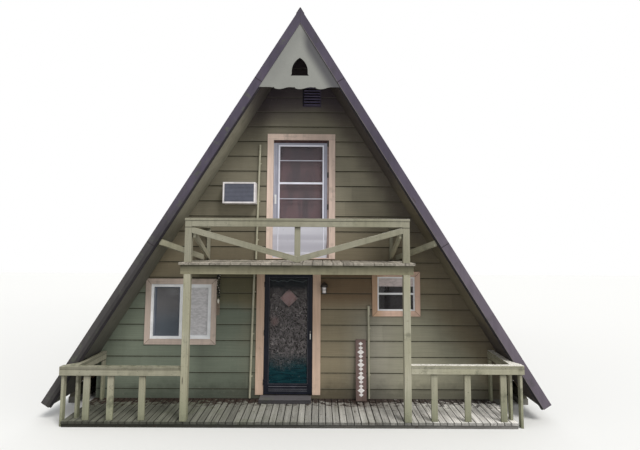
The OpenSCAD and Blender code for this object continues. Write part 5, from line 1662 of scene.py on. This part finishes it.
bars = [cross_bar(*bar) for bar in THIN_BARS]
parts = [mitred(bead_x, bead_z, bead(face - 0.006, face + 0.012, 0.026)), cross_bar(*BROAD_BAR)]
kick_x = (pane_low.x - 0.02, pane_high.x + 0.02)
kick_z = (up_low.z + 0.07, pane_low.z - 0.06)
parts.append(mitred(kick_x, kick_z, [(0, face + 0.004), (0.004, face - 0.004), (0.014, face - 0.004),
                                     (0.020, face + 0.004)]))
for x, width in ((up_low.x + 0.010, 0.012), (up_low.x + 0.040, 0.006), (up_high.x - 0.060, 0.006)):
    bars.append(slab((x, x + width), (face - 0.0025, face + 0.002), (kick_z[1] + 0.03, up_high.z - 0.056)))
soften(add_piece("upper_door_bars", join(parts), white_enamel), 0.0015)
dull_enamel = metal("dull_enamel", (0.47, 0.47, 0.55), 0.45, rust=0.15, grain=0.08)
soften(add_piece("upper_door_thin_bars", join(bars), dull_enamel), 0.0015)
# A dark strip at the door's head, as painted shade.
head_shade_strip = mottled("painted_head_shade", (0.030, 0.017, 0.018), (0.075, 0.040, 0.040), 12.0, 0.7, 0.001, 0.2)
head = slab((up_low.x, up_high.x), (face - 0.004, face + 0.004), (up_high.z - 0.050, up_high.z))
soften(add_piece("upper_door_head", head, head_shade_strip), 0.002)
jamb_wood = mottled("jamb_wood", (0.20, 0.14, 0.125), (0.33, 0.255, 0.235), 9.0, 0.7, 0.001, 0.2)
jamb = slab((up_high.x - 0.030, up_high.x), (face - 0.004, face + 0.004), (up_low.z, up_high.z - 0.052))
soften(add_piece("upper_door_jamb", jamb, jamb_wood), 0.002)

# %% [markdown]
# ## Turned parts
#
# A hinge knuckle, a lamp hood, a jar and a chime's bead are all lathe work: a profile of (radius, height) pairs
# is turned round an upright axis, x = cx + r * cos(a) and y = cy + r * sin(a).

# %% Lathe
def turned(centre, profile, sides=28):
    """A closed body turned from (radius, height) pairs, listed from the bottom up."""
    profile = np.asarray(profile, float)
    angle = angles(sides)
    x = centre[0] + profile[:, :1] * np.cos(angle)
    y = centre[1] + profile[:, :1] * np.sin(angle)
    return loft(xyz(x, y, centre[2] + profile[:, 1:]))


def rod(start, end, radius, sides=12):
    """A round bar between two points."""
    start, end = np.asarray(start, float), np.asarray(end, float)
    along = (end - start) / np.linalg.norm(end - start)
    u = np.cross(along, (0.31, 0.17, 0.93) if abs(along[2]) < 0.9 else (1, 0, 0))
    u /= np.linalg.norm(u)
    v = np.cross(along, u)
    angle = angles(sides)
    circle = radius * (np.cos(angle)[:, None] * u + np.sin(angle)[:, None] * v)
    return loft(np.stack([start + circle, end + circle]))


# %% [markdown]
# The storm door's handle is a turned grip on two short rods, with a lock's knob above it and a dark plate
# behind them. It rides on the storm door, so it swings along.

# %% The storm door's handle
grip_low, grip_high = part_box("storm_door_handle")
grip_x, grip_z = grip_high.x - 0.009, grip_low.z + 0.063
parts = [rod((grip_x, grip_high.y - 0.002, grip_z + s), (grip_x, grip_low.y + 0.006, grip_z + s), 0.0045)
         for s in (-0.030, 0.030)]
parts.append(turned((grip_x, grip_low.y + 0.008, grip_z),
                    [(0.005, -0.048), (0.0072, -0.044), (0.0078, 0.0), (0.0072, 0.044), (0.005, 0.048)], 16))
parts.append(turned((grip_x, grip_high.y - 0.012, grip_z + 0.072),
                    [(0.004, -0.006), (0.007, -0.004), (0.007, 0.004), (0.004, 0.006)], 16))
grip = add_piece("storm_door_grip", join(parts), nickel, "storm_door", smooth=True)
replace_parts(grip, "storm_door_handle")
plate = slab((grip_x - 0.009, grip_x + 0.009), (grip_high.y - 0.006, grip_high.y),
             (grip_z - 0.058, grip_z + 0.092))
soften(add_piece("storm_door_plate", plate, bronze, "storm_door"), 0.002)

# %% [markdown]
# The upper door's latch sits on its left stile: a plate, a spindle and a lever. Three hinge knuckles show at
# the right. These are fixed, as the door is.

# %% The upper door's latch and hinges
KNUCKLES = (4.27, 3.72, 3.16)
parts = [slab((pane_low.x - 0.075, pane_low.x - 0.045), (face - 0.006, face + 0.002),
              (up_low.z + 0.93, up_low.z + 1.09)),
         rod((pane_low.x - 0.06, face - 0.004, up_low.z + 1.045),
             (pane_low.x - 0.06, face - 0.045, up_low.z + 1.045), 0.007),
         rod((pane_low.x - 0.06, face - 0.040, up_low.z + 1.055),
             (pane_low.x - 0.06, face - 0.046, up_low.z + 0.955), 0.008)]
soften(add_piece("upper_door_latch", join(parts), nickel), 0.001)
parts = []
for level in KNUCKLES:
    z = floor_z + level
    parts.append(turned((up_high.x - 0.014, face - 0.006, z),
                        [(0.0080, -0.048), (0.0095, -0.045), (0.0095, 0.045), (0.0080, 0.048)], 14))
    parts.append(slab((up_high.x - 0.032, up_high.x - 0.002), (face - 0.0065, face - 0.003),
                      (z - 0.045, z + 0.045)))
add_piece("upper_door_knuckles", join(parts), bronze)

# %% [markdown]
# ## The gable panel
#
# The panel hangs under the peak. Its lower edge repeats one carved shape: from a crest it falls in a curve, has
# a small nib, reaches its lowest part and rises slowly to the next crest. The pointed hole has a slightly
# flared base. The outline is one list of points by formula, which is filled and then given its thickness.

# %% Gable panel
panel_low, panel_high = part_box("gable_panel")
WAVE_LEN = 0.335
WAVE_BASE = 0.018
WAVE_RISE = 0.033
FLAT_FROM = 0.52
WAVE_AT = (0.0, 0.10, 0.18, 0.205, 0.215, 0.265, 0.275, 0.34, 0.42, 0.50, 0.58, 0.72, 0.86, 1.0)
WAVE_UP = (1.0, 0.97, 0.85, 0.78, 1.0, 1.0, 0.55, 0.22, 0.05, 0.0, 0.03, 0.30, 0.75, 1.0)
HOLE_W = 0.26


def panel_edge(x, base):
    """Height of the lower edge, read from one carved wave that repeats along x."""
    along = (x / WAVE_LEN + 0.5) % 1.0
    up = np.where(np.abs(x) > FLAT_FROM, 1.0, np.interp(along, WAVE_AT, WAVE_UP))
    return base + WAVE_BASE + WAVE_RISE * up


def pointed_outline(centre_z, width, side_h):
    """Right half of the hole from its base up: a flared foot, an upright side, a shoulder and an arc."""
    half = width / 2
    rise = math.sqrt(width ** 2 - half ** 2)
    angle = np.linspace(0, math.asin(rise / width), 10)
    arc_x = -half + width * np.cos(angle)
    arc_z = side_h + width * np.sin(angle)
    x = np.concatenate([[half + 0.018, half + 0.010, half], arc_x])
    z = np.concatenate([[0, 0.012, 0.03], arc_z])
    return x, z + centre_z


def gable_panel_piece():
    """The filled outline with its hole, pushed back from the panel's front to its back."""
    x = np.linspace(-1, 1, 481) * ((panel_high.x - panel_low.x) / 2 - 0.001)
    outline = list(zip(x, panel_edge(x, panel_low.z))) + [(0.0, panel_high.z)]
    hx, hz = pointed_outline(panel_low.z + 0.24, HOLE_W, 0.075)
    hole = list(zip(hx, hz)) + list(zip(-hx[::-1], hz[::-1]))[1:]
    shell = bmesh.new()
    edges = []
    for ring in (outline, hole):
        corners = [shell.verts.new((px, panel_low.y, pz)) for px, pz in ring]
        edges += [shell.edges.new((a, b)) for a, b in zip(corners, corners[1:] + corners[:1])]
    bmesh.ops.triangle_fill(shell, use_beauty=True, edges=edges)
    pushed = bmesh.ops.extrude_face_region(shell, geom=list(shell.faces))["geom"]
    for item in pushed:
        if isinstance(item, bmesh.types.BMVert):
            item.co.y = panel_high.y
    bmesh.ops.recalc_face_normals(shell, faces=shell.faces)
    mesh = bpy.data.meshes.new("gable_panel_board")
    shell.to_mesh(mesh)
    shell.free()
    return mesh


def panel_finish():
    """Smooth pale grey paint, with painted shade at the right along the barge board."""
    f = Finish("panel_paint", 0.2)
    broad = f.noise(2.0, 3.0, 0.5)
    fine = f.noise(45.0, 4.0, 0.7)
    paint = f.blend(f.between(broad, 0.35, 0.65), (0.250, 0.253, 0.236), (0.270, 0.273, 0.255))
    paint = f.vary(paint, fine, 0.35, 0.65, 0.97, 1.02)
    # Painted shade cast by the right barge board.
    side = f.between(f.x, 0.0, 0.15, 0.15, 1.0)
    painted_barge_shade = f.times(f.between(roof_distance(f), -0.24, -0.08, 0, 0.85), side)
    paint = f.blend(painted_barge_shade, paint, (0.062, 0.060, 0.070))
    return f.done(paint, f.between(fine, 0.3, 0.7, 0.65, 0.8), f.bump(fine, 0.0008, 0.5))


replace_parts(put("gable_panel_board", gable_panel_piece(), panel_finish()), "gable_panel")

# %% [markdown]
# ## The air conditioner's grille
#
# Thin level blades fill the recess. A blade is a thin upright slab; all of them are one array.

# %% Grille blades
ac_low, ac_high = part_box("air_conditioner")
AC_RIM = 0.028
AC_RECESS = 0.012
BLADES = 14
blade_x = (ac_low.x + AC_RIM + 0.001, ac_high.x - AC_RIM - 0.001)
blade_z = np.linspace(ac_low.z + AC_RIM + 0.008, ac_high.z - AC_RIM - 0.008, BLADES)
parts = [slab(blade_x, (ac_low.y + 0.001, ac_low.y + 0.003), (z - 0.0075, z + 0.0075)) for z in blade_z]
grille_blue = metal("grille_blue_grey", (0.125, 0.132, 0.178), 0.5, grain=0.15)
add_piece("conditioner_grille", join(parts), grille_blue)
# The plate behind the blades is painted shade in the recess.
grille_dark = metal("grille_shadow", (0.045, 0.05, 0.062), 0.7)
back_plate = slab(blade_x, (ac_low.y + AC_RECESS - 0.002, ac_low.y + AC_RECESS - 0.0002),
                  (ac_low.z + AC_RIM, ac_high.z - AC_RIM))
add_piece("conditioner_shade_plate", back_plate, grille_dark)

# %% [markdown]
# ## The porch light
#
# A jar of ribbed glass hangs under a dark hood. Hood, base, hoop and jar are lathe work, the bars and the arm
# are rods, and the wall plate is a loft of four circles.

# %% Porch light
lamp_low, lamp_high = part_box("porch_light")
lamp_x = (lamp_low.x + lamp_high.x) / 2
lamp_r = (lamp_high.x - lamp_low.x) / 2
lamp_y = lamp_low.y + lamp_r
top = lamp_high.z
HOOD_H = 0.075
BRIM = 0.012
LAMP_H = lamp_high.z - lamp_low.z
centre = (lamp_x, lamp_y, top)
arc = np.linspace(0, math.pi / 2 - 0.12, 9)
hood_profile = [(lamp_r - 0.008, -HOOD_H - BRIM), (lamp_r, -HOOD_H - BRIM + 0.003), (lamp_r, -HOOD_H)]
hood_profile += [(r, h) for r, h in zip((lamp_r - 0.003) * np.cos(arc), 0.066 * np.sin(arc) - HOOD_H + 0.002)]
hood_profile += [(0.007, -0.010), (0.007, 0.0)]
hood = turned(centre, hood_profile, 36)
base_ring = turned(centre, [(0.022, -LAMP_H), (0.040, 0.002 - LAMP_H), (0.046, 0.008 - LAMP_H),
                            (0.046, 0.018 - LAMP_H), (0.034, 0.022 - LAMP_H)])
bars = [rod((lamp_x + 0.046 * math.cos(a), lamp_y + 0.046 * math.sin(a), top + 0.012 - LAMP_H),
            (lamp_x + 0.046 * math.cos(a), lamp_y + 0.046 * math.sin(a), top - HOOD_H - 0.010), 0.0036, 8)
        for a in (np.arange(4) + 0.5) * math.pi / 2]
hoop = turned((lamp_x, lamp_y, top - HOOD_H - 0.056), [(0.043, -0.003), (0.049, -0.003), (0.049, 0.003),
                                                       (0.043, 0.003)])
plate_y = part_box("entry_trim")[1].y
arm_z = top - HOOD_H + 0.009
arm = rod((lamp_x, lamp_y, arm_z), (lamp_x, plate_y - 0.02, arm_z), 0.008)
angle = angles(32)
radius, y = np.array([(0.048, plate_y), (0.048, plate_y - 0.024), (0.043, plate_y - 0.031),
                      (0.020, plate_y - 0.034)]).T[:, :, None]
wall_plate = loft(xyz(lamp_x + radius * np.cos(angle), y, arm_z + radius * np.sin(angle)))
parts = [hood, base_ring, arm, *bars, hoop, wall_plate]
lamp = add_piece("porch_light_metal", join(parts), bronze)
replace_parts(lamp, "porch_light")
ribs = np.linspace(0.022 - LAMP_H, -HOOD_H - BRIM, 25)
jar_r = 0.039 + 0.0018 * np.cos(np.arange(25) * math.pi) - 0.003 * np.linspace(1, 0, 25) ** 3
jar = turned(centre, np.stack([jar_r, ribs], axis=1), 32)
jar_finish = mottled("jar_glass", (0.84, 0.78, 0.78), (0.97, 0.93, 0.93), 30.0, 0.2, 0.0004, 0.5)
add_piece("porch_light_jar", jar, jar_finish, smooth=True)

# %% [markdown]
# ## A sleeve on the right conduit
#
# The right conduit ends in a wider sleeve, with a dark clamp at its foot.

# %% Conduit sleeve
low, high = solids("conduits")
last = int(np.argmax(high[:, 0]))
pipe_x, pipe_top = (low[last, 0] + high[last, 0]) / 2, high[last, 2]
SLEEVE_R = 0.022
pipe_y = front_y - 0.003 - SLEEVE_R
sleeve = turned((pipe_x, pipe_y, pipe_top),
                [(SLEEVE_R - 0.004, -0.160), (SLEEVE_R, -0.157), (SLEEVE_R, -0.006),
                 (SLEEVE_R - 0.002, -0.002), (SLEEVE_R - 0.006, 0.0)], 24)
sleeve_grey = metal("sleeve_grey", (0.33, 0.30, 0.25), 0.6, rust=0.2, grain=0.15)
add_piece("conduit_sleeve", sleeve, sleeve_grey, smooth=True)
clamp = turned((pipe_x, pipe_y, pipe_top - 0.160),
               [(SLEEVE_R - 0.003, -0.022), (SLEEVE_R + 0.001, -0.020), (SLEEVE_R + 0.001, -0.002),
                (SLEEVE_R - 0.003, 0.0)], 24)
add_piece("conduit_clamp", clamp, bronze)

# %% [markdown]
# ## Diamonds on the leaning board
#
# A column of plain white diamonds runs down the board's face. The board leans, so its own axes come from the
# spread of its corners, and each diamond is a very thin loft that stands out from the face.

# %% Sign diamonds
DIAMONDS = 13


def sign_diamonds():
    """Rhombs along the board, each a loft between a ring in the board's face and one just above it."""
    mesh = merged_copy("sign_board")
    points = points_of(mesh)
    bpy.data.meshes.remove(mesh)
    middle = points.mean(0)
    along, across, out = np.linalg.svd(points - middle, full_matrices=False)[2]
    along, out = along * np.sign(along[2]), out * np.sign(-out[1])
    reach = np.abs((points - middle) @ np.stack([along, across, out]).T).max(0)
    level = np.linspace(-0.80, 0.86, DIAMONDS) * reach[0]
    half = np.where(np.arange(DIAMONDS) % 3 == 1, 0.054, 0.036)
    corner = np.stack([across * 1.1, along * 0.85, -across * 1.1, -along * 0.85])
    face = middle + level[:, None] * along + out * reach[2]
    flat = face[:, None, :] + corner[None] * half[:, None, None]
    return loft(np.stack([flat - out * 0.0005, flat + out * 0.0012], axis=1))


sign_white = mottled("sign_white", (0.72, 0.69, 0.68), (0.92, 0.89, 0.87), 30.0, 0.7, 0.0004)
add_piece("sign_diamonds", sign_diamonds(), sign_white)

# %% [markdown]
# ## The chime
#
# It hangs from a hook beside the left window. Its body is a bunch of knotted wooden beads on strings, a pale
# shell below them, and three thin rods.

# %% Chime
chime_low, chime_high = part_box("chime")
chime_x = (chime_low.x + chime_high.x) / 2
chime_y = (chime_low.y + chime_high.y) / 2
beam_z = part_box("balcony_frame")[0].z
body_top = beam_z - 0.025
body_low = body_top - 0.44
BEADS = 30
bead_z = np.linspace(body_low + 0.02, body_top - 0.02, BEADS)
turns = np.arange(BEADS) * 2.4
dark_beads, rods = [], []
for z, a, r in zip(bead_z, turns, rng.uniform(0.009, 0.015, BEADS)):
    x0, y0 = chime_x + 0.021 * math.cos(a), chime_y + 0.010 * math.sin(a)
    dark_beads.append(turned((x0, y0, z), [(r * 0.3, -r), (r * 0.85, -r * 0.55), (r, 0), (r * 0.85, r * 0.55),
                                           (r * 0.3, r)], 10))
dark_beads.append(rod((chime_x, chime_y, body_low), (chime_x, chime_y, chime_high.z), 0.0015, 8))
shell_z = body_low - 0.07
for offset in (-0.018, 0.0, 0.018):
    dark_beads.append(rod((chime_x + offset, chime_y, body_low + 0.01), (chime_x + offset, chime_y, shell_z),
                          0.001, 6))
    rods.append(rod((chime_x + offset, chime_y, shell_z), (chime_x + offset, chime_y, chime_low.z + 0.01),
                    0.0042, 10))
pale_shell = turned((chime_x, chime_y, shell_z + 0.02),
                    [(0.004, -0.045), (0.016, -0.02), (0.019, 0.01), (0.012, 0.03), (0.004, 0.038)], 16)
spots = np.stack([chime_x + 0.024 * np.cos(turns[2::3]), np.full(BEADS // 3, chime_y - 0.016), bead_z[2::3]],
                 axis=1)
pale_beads = [turned(spot, [(0.003, -0.008), (0.008, 0.0), (0.003, 0.008)], 8) for spot in spots]
chime = add_piece("chime_beads", join(dark_beads), black_enamel, smooth=True)
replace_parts(chime, "chime")
add_piece("chime_rods", join(rods), metal("chime_copper", (0.34, 0.215, 0.17), 0.45, rust=0.4),
          smooth=True)
cream = mottled("chime_cream", (0.62, 0.58, 0.50), (0.80, 0.77, 0.70), 40.0, 0.6, 0.0004)
add_piece("chime_shell", join([pale_shell, *pale_beads]), cream, smooth=True)

# %% [markdown]
# ## The end of the lesson
#
# The floor is pale to the camera and darker to the light, so that it throws no more light up at the eaves than
# the ground would.

# %% Floor
FLOOR_SIZE = 60.0
corner = FLOOR_SIZE / 2
floor_mesh = bpy.data.meshes.new("floor")
floor_mesh.from_pydata([(-corner, -corner, 0), (corner, -corner, 0), (corner, corner, 0),
                        (-corner, corner, 0)], [], [(0, 1, 2, 3)])
floor = bpy.data.objects.new("floor", floor_mesh)
scene.collection.objects.link(floor)
floor_finish = Finish("pale_floor", 0.1, Roughness=0.9)
seen = floor_finish.node("ShaderNodeLightPath").outputs["Is Camera Ray"]
floor_finish.done(floor_finish.blend(seen, (0.50, 0.50, 0.48), (0.83, 0.83, 0.82)))
floor_mesh.materials.append(floor_finish.material)
